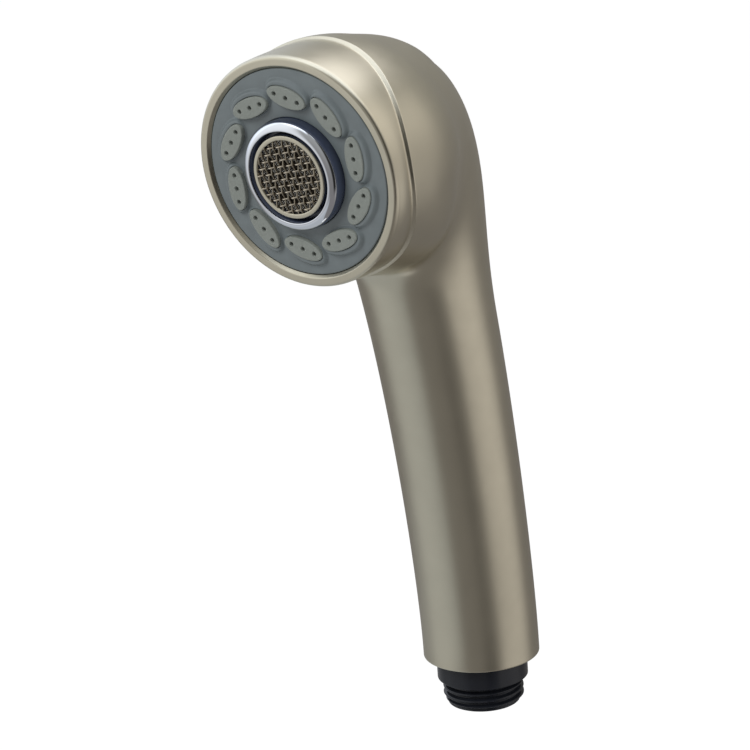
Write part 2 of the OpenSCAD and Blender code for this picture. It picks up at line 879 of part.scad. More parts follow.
// A helical compression spring whose end turns close up.
module check_valve_spring() {
    mean_r = 3.6;
    wire_r = 0.3;
    turns = 6;
    sides = 6;
    steps = 18;
    low = poppet_z + 2.15;
    high = valve_top - guide_h - 0.35;
    n = turns * steps;
    function climb(s) =
        let (dead = 0.13) s < dead ? 0.35 * s : s > 1 - dead ? 1 - 0.35 * (1 - s)
        : mix(0.35 * dead, 1 - 0.35 * dead, (s - dead) / (1 - 2 * dead));
    points = [for (i = [0 : n], k = [0 : sides - 1])
                 let (a = i * 360 / steps, b = k * 360 / sides, r = mean_r + wire_r * cos(b))
                 [r * cos(a), r * sin(a), mix(low, high, climb(i / n)) + wire_r * sin(b)]];
    color(STEEL)
        polyhedron(
            points = points,
            faces = concat(
                [for (i = [0 : n - 1], k = [0 : sides - 1])
                    let (a = i * sides + k, b = i * sides + (k + 1) % sides)
                    each [[a, b, b + sides], [a, b + sides, a + sides]]],
                [[for (k = [sides - 1 : -1 : 0]) k]],
                [[for (k = [0 : sides - 1]) n * sides + k]]),
            convexity = 8);
}

body_shell();
front_ring();
spray_face();
nozzle_membrane();
spray_backplate();
membrane_seal();
head_manifold();
aerator_sleeve();
aerator_housing();
aerator_screen();
flow_straightener();
flow_regulator();
aerator_gasket();
diverter_spool();
spool_o_rings();
diverter_pintle();
pintle_seal();
water_tube();
tube_upper_o_ring();
tube_lower_o_ring();
handle_insert();
hose_connector();
connector_o_ring();
check_valve_body();
check_valve_o_ring();
check_valve_poppet();
poppet_seal();
check_valve_spring();
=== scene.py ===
"""Draws the visible pieces of a two-function pull-out spray head, laid out as an add-on.

Every shape is a formula on a grid of two parameters. Lengths are in metres, +Z runs
up the hose axis, -Y is the side the water leaves from and X = 0 is the mirror plane.
"""

import json
import math

import bpy
import numpy as np
from bpy.props import FloatProperty, FloatVectorProperty, IntProperty, PointerProperty
from mathutils import Matrix, Vector


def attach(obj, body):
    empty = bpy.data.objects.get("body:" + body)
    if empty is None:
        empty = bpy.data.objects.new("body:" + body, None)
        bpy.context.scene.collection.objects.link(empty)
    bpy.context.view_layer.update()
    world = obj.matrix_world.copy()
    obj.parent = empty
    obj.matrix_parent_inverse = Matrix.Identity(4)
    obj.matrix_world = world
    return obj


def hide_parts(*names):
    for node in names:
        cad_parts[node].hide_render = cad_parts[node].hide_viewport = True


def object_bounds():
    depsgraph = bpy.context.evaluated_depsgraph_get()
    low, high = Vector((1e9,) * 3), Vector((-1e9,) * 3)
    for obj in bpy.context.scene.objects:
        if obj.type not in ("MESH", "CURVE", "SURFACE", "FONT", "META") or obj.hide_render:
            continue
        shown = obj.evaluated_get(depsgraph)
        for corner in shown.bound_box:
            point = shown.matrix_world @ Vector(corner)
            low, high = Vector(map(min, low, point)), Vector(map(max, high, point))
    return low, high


bl_info = {
    "name": "Pull-out Spray Head",
    "version": (1, 0, 0),
    "blender": (4, 5, 0),
    "location": "View3D > Sidebar > Spray Head",
    "description": "Draws a satin nickel pull-out spray head round its working parts",
    "category": "Add Mesh",
}

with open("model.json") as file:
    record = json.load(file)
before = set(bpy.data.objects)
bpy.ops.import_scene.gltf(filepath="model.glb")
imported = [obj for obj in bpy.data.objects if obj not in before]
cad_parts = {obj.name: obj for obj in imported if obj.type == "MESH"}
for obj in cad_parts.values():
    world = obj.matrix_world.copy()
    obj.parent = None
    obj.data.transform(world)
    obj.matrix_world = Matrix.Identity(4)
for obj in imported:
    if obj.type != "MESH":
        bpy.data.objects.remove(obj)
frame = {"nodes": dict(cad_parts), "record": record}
NODES = frame["nodes"]
CAD_LOW, CAD_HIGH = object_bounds()

MM = 0.001
HEAD = "spray_head"
SELECTOR = "stream_selector"
POPPET = "check_poppet"


# ---------------------------------------------------------------- settings


def length(name, millimetres, description):
    """A length setting, stored in metres."""
    return FloatProperty(name=name, description=description, default=millimetres * MM,
                         min=0.0, subtype="DISTANCE", unit="LENGTH", precision=5)


def angle(name, degrees, description):
    """An angle setting, stored in radians."""
    return FloatProperty(name=name, description=description, default=math.radians(degrees),
                         subtype="ANGLE", unit="ROTATION")


def colour(name, value, description):
    """A linear colour setting."""
    return FloatVectorProperty(name=name, description=description, default=value,
                               size=3, min=0.0, max=1.0, subtype="COLOR")


class CasingSettings(bpy.types.PropertyGroup):
    """Sizes of the handle, the head and the front ring."""

    handle_d: length("Handle diameter", 30.1, "Outside diameter at the bottom rim")
    neck_d: length("Neck diameter", 35.8, "Outside diameter where the handle ends in the head")
    rim_z: length("Rim height", 7.9, "Height of the bottom rim above the hose thread")
    straight_rise: length("Straight rise", 28.5, "Height over which the spine leaves the rim")
    neck_lean: length("Neck lean", 14.35, "Forward lean of the spine at the neck")
    neck_z: length("Neck height", 141.6, "Height of the spine's neck control point")
    top_lean: length("Top lean", 35.1, "Forward reach of the spine's upper end")
    top_z: length("Top height", 156.1, "Height of the spine's upper end")
    rim_round: length("Rim rounding", 0.3, "Rounding of the bottom rim")
    wall: length("Wall", 2.8, "Wall thickness of the casing")
    head_d: length("Head diameter", 58.0, "Outside diameter of the drum")
    head_z: length("Head height", 149.9, "Height of the drum's level axis")
    dome_len: length("Dome length", 30.7, "Depth of the drum's domed back")
    dome_power: FloatProperty(name="Dome squareness", default=2.41, min=2.0, max=4.0,
                              description="Exponent of the dome, 2 for an ellipse")
    crease_blend: length("Crease blend", 5.0, "Blend in the crease under the head")
    back_blend: length("Back blend", 45.0, "Blend over the back of the head")
    under_power: FloatProperty(name="Underside squareness", default=3.6, min=2.0, max=8.0,
                               description="Exponent of the dome under the head")
    under_swell: length("Underside swell", 2.0, "Growth of the drum's underside behind its edge")
    edge_round: length("Edge rounding", 0.45, "Rounding of the casing's front edge")
    edge_cove: length("Edge cove", 0.9, "Cove from the front edge down to the ring's band")


class FaceSettings(bpy.types.PropertyGroup):
    """Sizes of the spray face and its nozzle pads."""

    reach: length("Face reach", 62.6, "Forward reach of the face's centre")
    height: length("Face height", 149.4, "Height of the face's centre")
    tilt: angle("Face tilt", 6.5, "Downward tilt of the face")
    plate_d: length("Plate diameter", 50.4, "Diameter of the face plate")
    lip_d: length("Lip diameter", 56.5, "Outside diameter of the front ring's lip")
    lip_out: length("Lip stand-out", 0.65, "How far the lip stands in front of the plate")
    pads: IntProperty(name="Pads", default=10, min=6, max=12,
                      description="Number of nozzle pads")
    pad_ring_r: length("Pad circle", 18.5, "Radius of the circle of pad centres")
    pad_start: angle("First pad", 2.2, "Turn of the circle of pads about the face's axis")
    pad_l: length("Pad length", 10.9, "Length of a pad")
    pad_w: length("Pad width", 4.9, "Width of a pad")
    pad_turn: angle("Pad turn", 14.2, "Turn of each pad from the tangent")
    hole_d: length("Hole diameter", 1.1, "Diameter of a spray hole")
    hole_pitch: length("Hole pitch", 3.3, "Distance between the holes of a pad")


class OutletSettings(bpy.types.PropertyGroup):
    """Sizes of the stream outlet and the hose connector."""

    sleeve_d: length("Sleeve diameter", 26.8, "Outside diameter of the selector sleeve")
    sleeve_bore_d: length("Sleeve bore", 22.4, "Bore of the selector sleeve")
    sleeve_out: length("Sleeve stand-out", 3.9, "How far the sleeve stands out of the face")
    rim_d: length("Outlet rim", 20.2, "Outside diameter of the aerator's rim")
    screen_d: length("Screen diameter", 17.9, "Visible diameter of the outlet screen")
    screen_out: length("Screen stand-out", 3.3, "How far the screen lies in front of the face")
    wire_pitch: length("Wire pitch", 1.37, "Distance between the outer screen's upright wires")
    row_pitch: length("Row pitch", 1.55, "Distance between the outer screen's level wires")
    wire_d: length("Wire diameter", 0.44, "Diameter of the outer screen's wires")
    fine_pitch: length("Fine pitch", 0.5, "Distance between the inner screen's wires")
    fine_d: length("Fine wire diameter", 0.22, "Diameter of the inner screen's wires")
    thread_d: length("Thread diameter", 20.955, "Major diameter of the hose thread")
    thread_pitch: length("Thread pitch", 1.814, "Pitch of the hose thread")
    thread_l: length("Thread length", 4.2, "Length of the full thread")
    relief_l: length("Relief", 1.7, "Height of the collar's lower edge above the thread")
    collar_d: length("Collar diameter", 23.6, "Diameter of the collar above the thread")


class FinishSettings(bpy.types.PropertyGroup):
    """Colours of the visible finishes."""

    nickel: colour("Nickel", (0.62, 0.58, 0.466), "Satin nickel plating")
    chrome: colour("Chrome", (0.8, 0.83, 0.89), "Bright chrome plating")
    plate: colour("Face plate", (0.104, 0.122, 0.127), "Moulded face plate")
    pad: colour("Nozzle pads", (0.16, 0.174, 0.159), "Silicone nozzle pads")
    wire: colour("Screen wire", (0.62, 0.55, 0.44), "Stainless wire of the outer screen")
    # Upright wire: the same wire as the level ones, given a darker colour as painted shade,
    # because their reflections catch less light.
    stained: colour("Upright wire", (0.4, 0.35, 0.27), "Stained upright wire of the outer screen")
    # Inner screen wire: near-black, as painted shade behind the outer screen.
    deep: colour("Inner screen wire", (0.028, 0.021, 0.014), "Scaled wire of the inner screen")
    # Sleeve core: its dark colour is painted shade, for the shaded plate mirrored in the sleeve's
    # wall and the shade in the groove round the rim.
    core_shade: colour("Sleeve core", (0.028, 0.036, 0.06), "Dark core of the selector sleeve")
    black: colour("Connector", (0.008, 0.009, 0.012), "Black acetal of the connector")
    rubber: colour("Seals", (0.02, 0.02, 0.02), "Nitrile rubber of the seals")
    acetal: colour("Waterway", (0.62, 0.62, 0.58), "Natural acetal of the waterway")
    regulator: colour("Regulator", (0.55, 0.16, 0.22), "Coloured acetal of the regulator")


# ---------------------------------------------------------------- form of the casing


def mix(a, b, t):
    """Straight mix from a to b."""
    return a + (b - a) * t


def ease(x):
    """Smooth step: 0 below 0, 1 above 1 and 3x^2 - 2x^3 between."""
    x = np.clip(x, 0.0, 1.0)
    return x * x * (3 - 2 * x)


def bezier(control, t):
    """Point and slope of a cubic Bezier curve with the given control points."""
    t = np.asarray(t, float)[..., None]
    u = 1 - t
    point = (u ** 3 * control[0] + 3 * u * u * t * control[1]
             + 3 * u * t * t * control[2] + t ** 3 * control[3])
    slope = (3 * u * u * (control[1] - control[0]) + 6 * u * t * (control[2] - control[1])
             + 3 * t * t * (control[3] - control[2]))
    return point, slope


# Sine and cosine of the 45 degrees at which the front edge's round meets its cone.
DIAGONAL = math.sqrt(0.5)


class CasingForm:
    """The casing's outer form: a drum and a tapering tube, smoothly joined."""

    # y where the dome begins, and where the blend with the handle starts and ends to grow.
    DOME_Y = -51.2 * MM
    BLEND_Y = (-40.0 * MM, 10.4 * MM)
    # Underside: depth below the axis, and y, over which it turns squarer and swells.
    UNDER_Z = (4.0 * MM, 29.0 * MM)
    UNDER_Y = (-8.0 * MM, -36.0 * MM)
    SWELL_Y = (-52.0 * MM, -36.0 * MM)
    # The spine's parameter at the neck, and how far the fan's pivot lies in front of it.
    NECK_T = 0.665
    PIVOT_GAP = 2.5 * MM
    # Front edge: its mean y and three waves round the drum, as (waves a turn, height).
    EDGE_MEAN = -52.67 * MM
    EDGE_WAVES = ((2, 3.25 * MM), (3, 1.31 * MM), (4, -0.71 * MM))
    EDGE_START = 0.15 * MM
    EDGE_CONE = 0.3 * MM
    # Distances within which a ray meets the skin, and steps of the two searches.
    SKIN_WITHIN = (4.0 * MM, 50.0 * MM)
    HALVINGS = 26
    NEWTON_STEPS = 5
    # Least distance from the drum's axis that its formula takes.
    LEAST_R = 1e-5

    def __init__(self, scene):
        casing, face = scene.spray_casing, scene.spray_face
        self.casing = casing
        self.spine = np.array([[0, casing.rim_z],
                               [0, casing.rim_z + casing.straight_rise],
                               [-casing.neck_lean, casing.neck_z],
                               [-casing.top_lean, casing.top_z]])
        self.head_r = casing.head_d / 2
        self.face_y = -face.reach
        self.face_z = face.height
        self.tilt = face.tilt

    def handle_r(self, t):
        """Handle radius: grows with the square of the spine's parameter."""
        return mix(self.casing.handle_d, self.casing.neck_d, t * t) / 2

    def handle_gap(self, p):
        """Distance from the handle's skin, by Newton steps to the spine's nearest point."""
        yz = p[..., 1:]
        low, high = self.casing.rim_z, self.casing.top_z
        t = np.clip((yz[..., 1] - low) / (high - low), 0, 1)
        for _ in range(self.NEWTON_STEPS):
            point, slope = bezier(self.spine, t)
            t = np.clip(t + ((yz - point) * slope).sum(-1) / (slope * slope).sum(-1), 0, 1)
        point, _ = bezier(self.spine, t)
        across = yz - point
        return np.sqrt(p[..., 0] ** 2 + (across ** 2).sum(-1)) - self.handle_r(t)

    def head_gap(self, p):
        """Distance from the drum: a superellipsoid's value less one, over its slope.

        Its underside is squarer and swells a little behind the front edge."""
        depth = self.casing.dome_len
        (high, low), (end, full), (front, back) = self.UNDER_Z, self.UNDER_Y, self.SWELL_Y
        under = (ease((self.casing.head_z - p[..., 2] - high) / (low - high))
                 * ease((p[..., 1] - end) / (full - end)))
        swell = self.casing.under_swell * ease((p[..., 1] - front) / (back - front))
        power = mix(self.casing.dome_power, self.casing.under_power, under)
        size = self.head_r + swell * under
        r = np.hypot(p[..., 0], p[..., 2] - self.casing.head_z)
        r = np.maximum(r, self.LEAST_R) / size
        a = np.maximum(p[..., 1] - self.DOME_Y, 0) / depth
        value = (r ** power + a ** power) ** (1 / power)
        slope = value ** (1 - power) * np.hypot(r ** (power - 1) / size,
                                                a ** (power - 1) / depth)
        return (value - 1) / slope

    def gap(self, p):
        """Smooth union of drum and handle, whose blend grows towards the back."""
        a, b = self.head_gap(p), self.handle_gap(p)
        low, high = self.BLEND_Y
        share = ease((p[..., 1] - low) / (high - low))
        k = mix(self.casing.crease_blend, self.casing.back_blend, share)
        h = np.clip(0.5 + 0.5 * (b - a) / k, 0, 1)
        return mix(b, a, h) - k * h * (1 - h)

    def reach(self, start, direction, level):
        """Points on rays where the gap equals a level, by halving the interval."""
        low, high = (np.full(start.shape[:-1], size) for size in self.SKIN_WITHIN)
        for _ in range(self.HALVINGS):
            middle = (low + high) / 2
            outside = self.gap(start + middle[..., None] * direction) > level
            high = np.where(outside, middle, high)
            low = np.where(outside, low, middle)
        return start + ((low + high) / 2)[..., None] * direction

    def edge_y(self, around):
        """y where the front edge starts to round off: a mean and three waves."""
        return self.EDGE_MEAN + sum(size * np.cos(n * around) for n, size in self.EDGE_WAVES)

    def edge_ends(self):
        """Distances in front of the edge where its round ends and where its cove ends."""
        middle = self.EDGE_START + self.casing.edge_round * DIAGONAL
        return middle, middle + self.EDGE_CONE + self.casing.edge_cove * DIAGONAL

    def edge_drop(self, ahead):
        """Depth below the drum's skin in front of the edge: round, short cone and cove."""
        round_r, cove_r = self.casing.edge_round, self.casing.edge_cove
        middle, end = self.edge_ends()
        gone = np.clip(ahead - self.EDGE_START, 0, round_r)
        rounded = round_r - np.sqrt(round_r ** 2 - gone ** 2)
        cone = round_r * (1 - DIAGONAL) + ahead - middle
        left = np.clip(end - ahead, 0, cove_r)
        foot = (round_r + cove_r) * (1 - DIAGONAL) + self.EDGE_CONE
        cove = foot - cove_r + np.sqrt(cove_r ** 2 - left ** 2)
        return np.select([ahead < middle, ahead < middle + self.EDGE_CONE], [rounded, cone], cove)

    def edge_loops(self, ahead, angles, level=None):
        """Loops at distances in front of the edge, on its profile or at a level."""
        ahead = np.atleast_1d(np.asarray(ahead, float))
        y = self.edge_y(angles)[None] - ahead[:, None]
        level = -self.edge_drop(ahead) if level is None else level
        return self.drum_loops(y, angles, level)

    def handle_section(self, t):
        """Centre and back direction of the section normal to the spine at t."""
        point, slope = bezier(self.spine, t)
        back = np.stack([np.zeros_like(slope[..., 0]), slope[..., 1], -slope[..., 0]], -1)
        back /= np.linalg.norm(back, axis=-1, keepdims=True)
        return np.concatenate([np.zeros_like(point[..., :1]), point], -1), back

    def fan_section(self, s):
        """Centre and direction of the sections that fan from the neck to the head."""
        centre, back = self.handle_section(np.array(self.NECK_T))
        reach = self.handle_r(self.NECK_T) + self.PIVOT_GAP
        pivot = centre - reach * back
        turn = mix(math.atan2(back[2], back[1]), math.pi / 2, s)
        out = np.stack([np.zeros_like(turn), np.cos(turn), np.sin(turn)], -1)
        size = mix(reach, self.casing.head_z - pivot[2], s)
        return pivot + size[..., None] * out, out, pivot

    def around(self, centre, out, angles, level):
        """Loops of the skin round each centre, from the direction out towards +X."""
        side = np.array([1.0, 0, 0])
        rays = (np.sin(angles)[None, :, None] * side
                + np.cos(angles)[None, :, None] * out[:, None, :])
        start = np.broadcast_to(centre[:, None, :], rays.shape)
        return self.reach(start, rays, np.asarray(level, float).reshape(-1, 1))

    def drum_loops(self, y, angles, level):
        """Loops of the skin round the drum's axis. y has one row for each loop."""
        start = np.stack([np.zeros_like(y), y, np.full_like(y, self.casing.head_z)], -1)
        rays = np.stack([np.sin(angles), np.zeros_like(angles), np.cos(angles)], -1)
        rays = np.broadcast_to(rays, start.shape)
        return self.reach(start, rays, np.asarray(level, float).reshape(-1, 1))

    def face_point(self, r, around, out):
        """Point at a radius and an angle on the face, at a distance in front of it."""
        cos, sin = math.cos(self.tilt), math.sin(self.tilt)
        r, around, out = np.broadcast_arrays(r, around, out)
        up = r * np.cos(around)
        return np.stack([r * np.sin(around),
                         self.face_y - out * cos - up * sin,
                         self.face_z - out * sin + up * cos], -1)


# ---------------------------------------------------------------- meshes


def full_turn(sides):
    """Evenly spaced angles of one turn, in radians."""
    return np.linspace(0, 2 * np.pi, sides, endpoint=False)


def quads_of(rows, columns, wrap_rows, wrap_columns):
    """Quads of a grid, as point numbers. Wrapping closes a direction."""
    index = np.arange(rows * columns).reshape(rows, columns)
    if wrap_columns:
        index = np.concatenate([index, index[:, :1]], 1)
    if wrap_rows:
        index = np.concatenate([index, index[:1]], 0)
    quads = np.stack([index[:-1, :-1], index[:-1, 1:], index[1:, 1:], index[1:, :-1]], -1)
    return quads.reshape(-1, 4)


def grid_mesh(name, grids, material, wrap_rows=False, wrap_columns=True, flip=False):
    """A smooth mesh object over grids of points, where grid[row, column] = (x, y, z)."""
    points, quads, count = [], [], 0
    for grid in grids:
        points.append(grid.reshape(-1, 3))
        quads.append(quads_of(*grid.shape[:2], wrap_rows, wrap_columns) + count)
        count += len(points[-1])
    points = np.concatenate(points).astype(np.float32)
    quads = np.concatenate(quads).astype(np.int32)
    if flip:
        quads = quads[:, ::-1]
    mesh = bpy.data.meshes.new(name)
    mesh.vertices.add(len(points))
    mesh.vertices.foreach_set("co", points.ravel())
    mesh.loops.add(quads.size)
    mesh.loops.foreach_set("vertex_index", quads.ravel())
    mesh.polygons.add(len(quads))
    mesh.polygons.foreach_set("loop_start", np.arange(0, quads.size, 4, dtype=np.int32))
    mesh.polygons.foreach_set("use_smooth", np.ones(len(quads), bool))
    mesh.update(calc_edges=True)
    mesh.validate()
    mesh.materials.append(material)
    made = bpy.data.objects.new(name, mesh)
    bpy.context.scene.collection.objects.link(made)
    return made


def dress(piece, body, node):
    """Seats a finished piece on its body in place of the CAD node that it shows."""
    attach(piece, body)
    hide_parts(node)


def arc(centre, radius, start, end, steps):
    """Points of an arc in (radius, height), angles in degrees."""
    a = np.radians(np.linspace(start, end, steps))
    return np.stack([centre[0] + radius * np.cos(a), centre[1] + radius * np.sin(a)], -1)


def profile(*parts, step=0.25 * MM):
    """Joins points and arcs into one profile, with straight runs cut to a step."""
    points = np.concatenate([np.atleast_2d(np.asarray(p, float)) for p in parts])
    runs = []
    for a, b in zip(points[:-1], points[1:]):
        count = max(1, int(math.ceil(np.linalg.norm(b - a) / step)))
        runs.append(a + (b - a) * (np.arange(count) / count)[:, None])
    return np.concatenate(runs + [points[-1:]])


# ---------------------------------------------------------------- nodes


def feed(tree, socket, value):
    """Links an output to a socket, or sets the socket's own value. A colour gains its alpha."""
    if isinstance(value, bpy.types.NodeSocket):
        tree.links.new(value, socket)
    elif socket.type == "RGBA" and len(value) == 3:
        socket.default_value = (*value, 1.0)
    else:
        socket.default_value = value


def add_node(tree, kind, *inputs, output=0, named=None, **options):
    """Adds a node, feeds its inputs in order and then by name, and gives one output."""
    node = tree.nodes.new("ShaderNode" + kind)
    for key, value in options.items():
        setattr(node, key, value)
    for key, value in (*enumerate(inputs), *(named or {}).items()):
        feed(tree, node.inputs[key], value)
    return node.outputs[output]


def finish_tree(tree, kind, surface):
    """Adds the output node of a tree and feeds its surface."""
    feed(tree, tree.nodes.new("ShaderNodeOutput" + kind).inputs["Surface"], surface)


def glowing_material(name):
    """A material of the stage with an empty tree, whose glow isn't sampled as a lamp."""
    material = bpy.data.materials.new(name)
    material.use_nodes = True
    material.node_tree.nodes.clear()
    material.cycles.emission_sampling = "NONE"
    return material, material.node_tree


# ---------------------------------------------------------------- finishes

# A recipe holds the shader's own inputs and three noises, each given as the size of
# its grains in millimetres, its detail and, where they differ from the usual, its
# roughness and how far it is drawn out along Z. The first noise shades the base colour
# and the second sets the roughness, each as (noise, range taken, range given). The
# third is a relief, as (noise, depth in millimetres, strength).
USUAL = (0.3, 0.7)

# Satin nickel: fine blasted grain under a clear, slightly uneven sheen.
SATIN_NICKEL = {
    "inputs": {"Metallic": 1.0},
    "shades": ((9, 2), USUAL, (0.975, 1.02)),
    "sheen": ((2.4, 4), (0.25, 0.75), (0.29, 0.34)),
    "relief": ((0.16, 2, 0.6), 0.004, 0.5),
}
# Bright chrome, with the faint waviness of plating over moulded plastic.
BRIGHT_CHROME = {
    "inputs": {"Metallic": 1.0},
    "shades": ((5, 1), USUAL, (0.98, 1.0)),
    "sheen": ((1.5, 3), USUAL, (0.035, 0.07)),
    "relief": ((5, 1), 0.01, 0.3),
}
# Satin moulded plastic, with a fine spark texture and a faint mottle.
MOULDED_PLATE = {
    "inputs": {"Metallic": 0.0, "IOR": 1.5},
    "shades": ((3.5, 4), USUAL, (0.93, 1.06)),
    "sheen": ((1.1, 3), USUAL, (0.30, 0.40)),
    "relief": ((0.14, 2), 0.006, 0.6),
}
# Matt silicone rubber, a little translucent and slightly dusty.
SILICONE = {
    "inputs": {"Metallic": 0.0, "IOR": 1.42, "Subsurface Weight": 0.15,
               "Subsurface Scale": 1.2 * MM, "Subsurface Radius": (1.0, 0.95, 0.9)},
    "shades": ((0.8, 5), USUAL, (0.94, 1.05)),
    "sheen": ((0.8, 5), USUAL, (0.46, 0.58)),
    "relief": ((0.18, 2), 0.008, 0.5),
}
# Drawn stainless wire, with fine draw lines and a brown tint in places.
DRAWN_WIRE = {
    "inputs": {"Metallic": 1.0},
    "shades": ((1.6, 3), (0.3, 0.75), (0.8, 1.05)),
    "sheen": ((0.5, 3), USUAL, (0.24, 0.36)),
    "relief": ((0.05, 3), 0.003, 0.4),
}
# Moulded acetal: waxy, with faint flow marks.
ACETAL = {
    "inputs": {"Metallic": 0.0, "IOR": 1.48},
    "shades": ((2.2, 3, 0.5, 3), USUAL, (0.9, 1.1)),
    "sheen": ((0.7, 4), USUAL, (0.26, 0.38)),
    "relief": ((0.25, 3), 0.006, 0.5),
}
# The same in black, which is smoother and mirrors less.
BLACK_ACETAL = {
    **ACETAL,
    "inputs": {**ACETAL["inputs"], "Specular IOR Level": 0.35},
    "sheen": ((0.7, 4), USUAL, (0.14, 0.22)),
}
# Polished plastic, with the slightest ripple from its mould. The dark colour given with it is
# painted shade.
POLISHED_CORE = {
    "inputs": {"Metallic": 0.0, "IOR": 1.5},
    "shades": ((3, 2), USUAL, (0.9, 1.1)),
    "sheen": ((0.9, 3), USUAL, (0.12, 0.2)),
    "relief": ((3, 2), 0.01, 0.3),
}
# A dark surface with a dull, dusty skin, such as nitrile rubber, or the inner screen and the disc
# behind the screens, whose near-black colour is painted shade.
DUSTY_SKIN = {
    "inputs": {"Metallic": 0.0, "IOR": 1.5},
    "shades": ((0.6, 5), (0.4, 0.8), (1.0, 2.0)),
    "sheen": ((0.6, 5), USUAL, (0.5, 0.68)),
    "relief": ((0.6, 5), 0.01, 0.4),
}

# Each finish: the setting of its colour, the material's name and the recipe.
FINISHES = {
    "nickel": ("nickel", "satin_nickel", SATIN_NICKEL),
    "chrome": ("chrome", "bright_chrome", BRIGHT_CHROME),
    "face_plastic": ("plate", "moulded_plate", MOULDED_PLATE),
    "nozzle_rubber": ("pad", "nozzle_silicone", SILICONE),
    "waterway_plastic": ("acetal", "turned_acetal", ACETAL),
    "black_plastic": ("black", "black_acetal", BLACK_ACETAL),
    "seal_rubber": ("rubber", "nitrile_rubber", DUSTY_SKIN),
    "steel": ("wire", "drawn_wire", DRAWN_WIRE),
    "regulator_plastic": ("regulator", "regulator_acetal", ACETAL),
    # The upright wires' darker copy of the wire: painted shade.
    "stained_steel": ("stained", "stained_wire", DRAWN_WIRE),
    # The inner screen's and the disc's near-black: painted shade.
    "deep_steel": ("deep", "scaled_wire", DUSTY_SKIN),
    # The core's dark colour: painted shade.
    "core_plastic": ("core_shade", "polished_core", POLISHED_CORE),
}
MADE_FINISHES = {}

# Numbers of a Mix node's two colour inputs and of its colour output.
MIX_DARK, MIX_LIGHT, MIX_RESULT = 6, 7, 2


def shade(base, factor):
    """A colour made darker or lighter by a factor."""
    return tuple(min(1.0, c * factor) for c in base)


def make_finish(name, base, inputs, shades, sheen, relief):
    """A material whose colour, roughness and relief follow the noises of its recipe."""
    material = bpy.data.materials.new(name)
    material.use_nodes = True
    tree = material.node_tree
    shader = tree.nodes["Principled BSDF"].inputs
    place = add_node(tree, "TexCoord", output="Object")
    made = {}

    def noise(size, detail, roughness=0.5, drawn=1):
        """The noise of these grains on the piece's own coordinates, made once."""
        key = (size, detail, roughness, drawn)
        if key not in made:
            mapped = add_node(tree, "Mapping", place, named={"Scale": (1, 1, 1 / drawn)})
            made[key] = add_node(tree, "TexNoise", mapped, output="Fac", named={
                "Scale": 1 / (size * MM), "Detail": detail, "Roughness": roughness})
        return made[key]

    def ramp(grain, taken, given):
        """A noise mapped from the range taken to the range given, and held there."""
        return add_node(tree, "MapRange", noise(*grain), *taken, *given)

    for key, value in inputs.items():
        feed(tree, shader[key], value)
    grain, taken, (dark, light) = shades
    tint = add_node(tree, "Mix", ramp(grain, taken, (0, 1)), data_type="RGBA", output=MIX_RESULT,
                    named={MIX_DARK: shade(base, dark), MIX_LIGHT: shade(base, light)})
    feed(tree, shader["Base Color"], tint)
    feed(tree, shader["Roughness"], ramp(*sheen))
    grain, depth, strength = relief
    normal = add_node(tree, "Bump", named={"Height": noise(*grain), "Distance": depth * MM,
                                           "Strength": strength})
    feed(tree, shader["Normal"], normal)
    return material


def finish_for(slot):
    """The material of a finish, made once."""
    if slot not in MADE_FINISHES:
        key, name, recipe = FINISHES[slot]
        base = tuple(getattr(bpy.context.scene.spray_finish, key))
        MADE_FINISHES[slot] = make_finish(name, base, **recipe)
    return MADE_FINISHES[slot]


# ---------------------------------------------------------------- casing and ring


# The casing ends this far in front of its edge, and the ring starts a hairline on.
SEAM_AHEAD = 0.95 * MM
SEAM_GAP = 0.015 * MM
SEAM_BREAK = 0.005 * MM


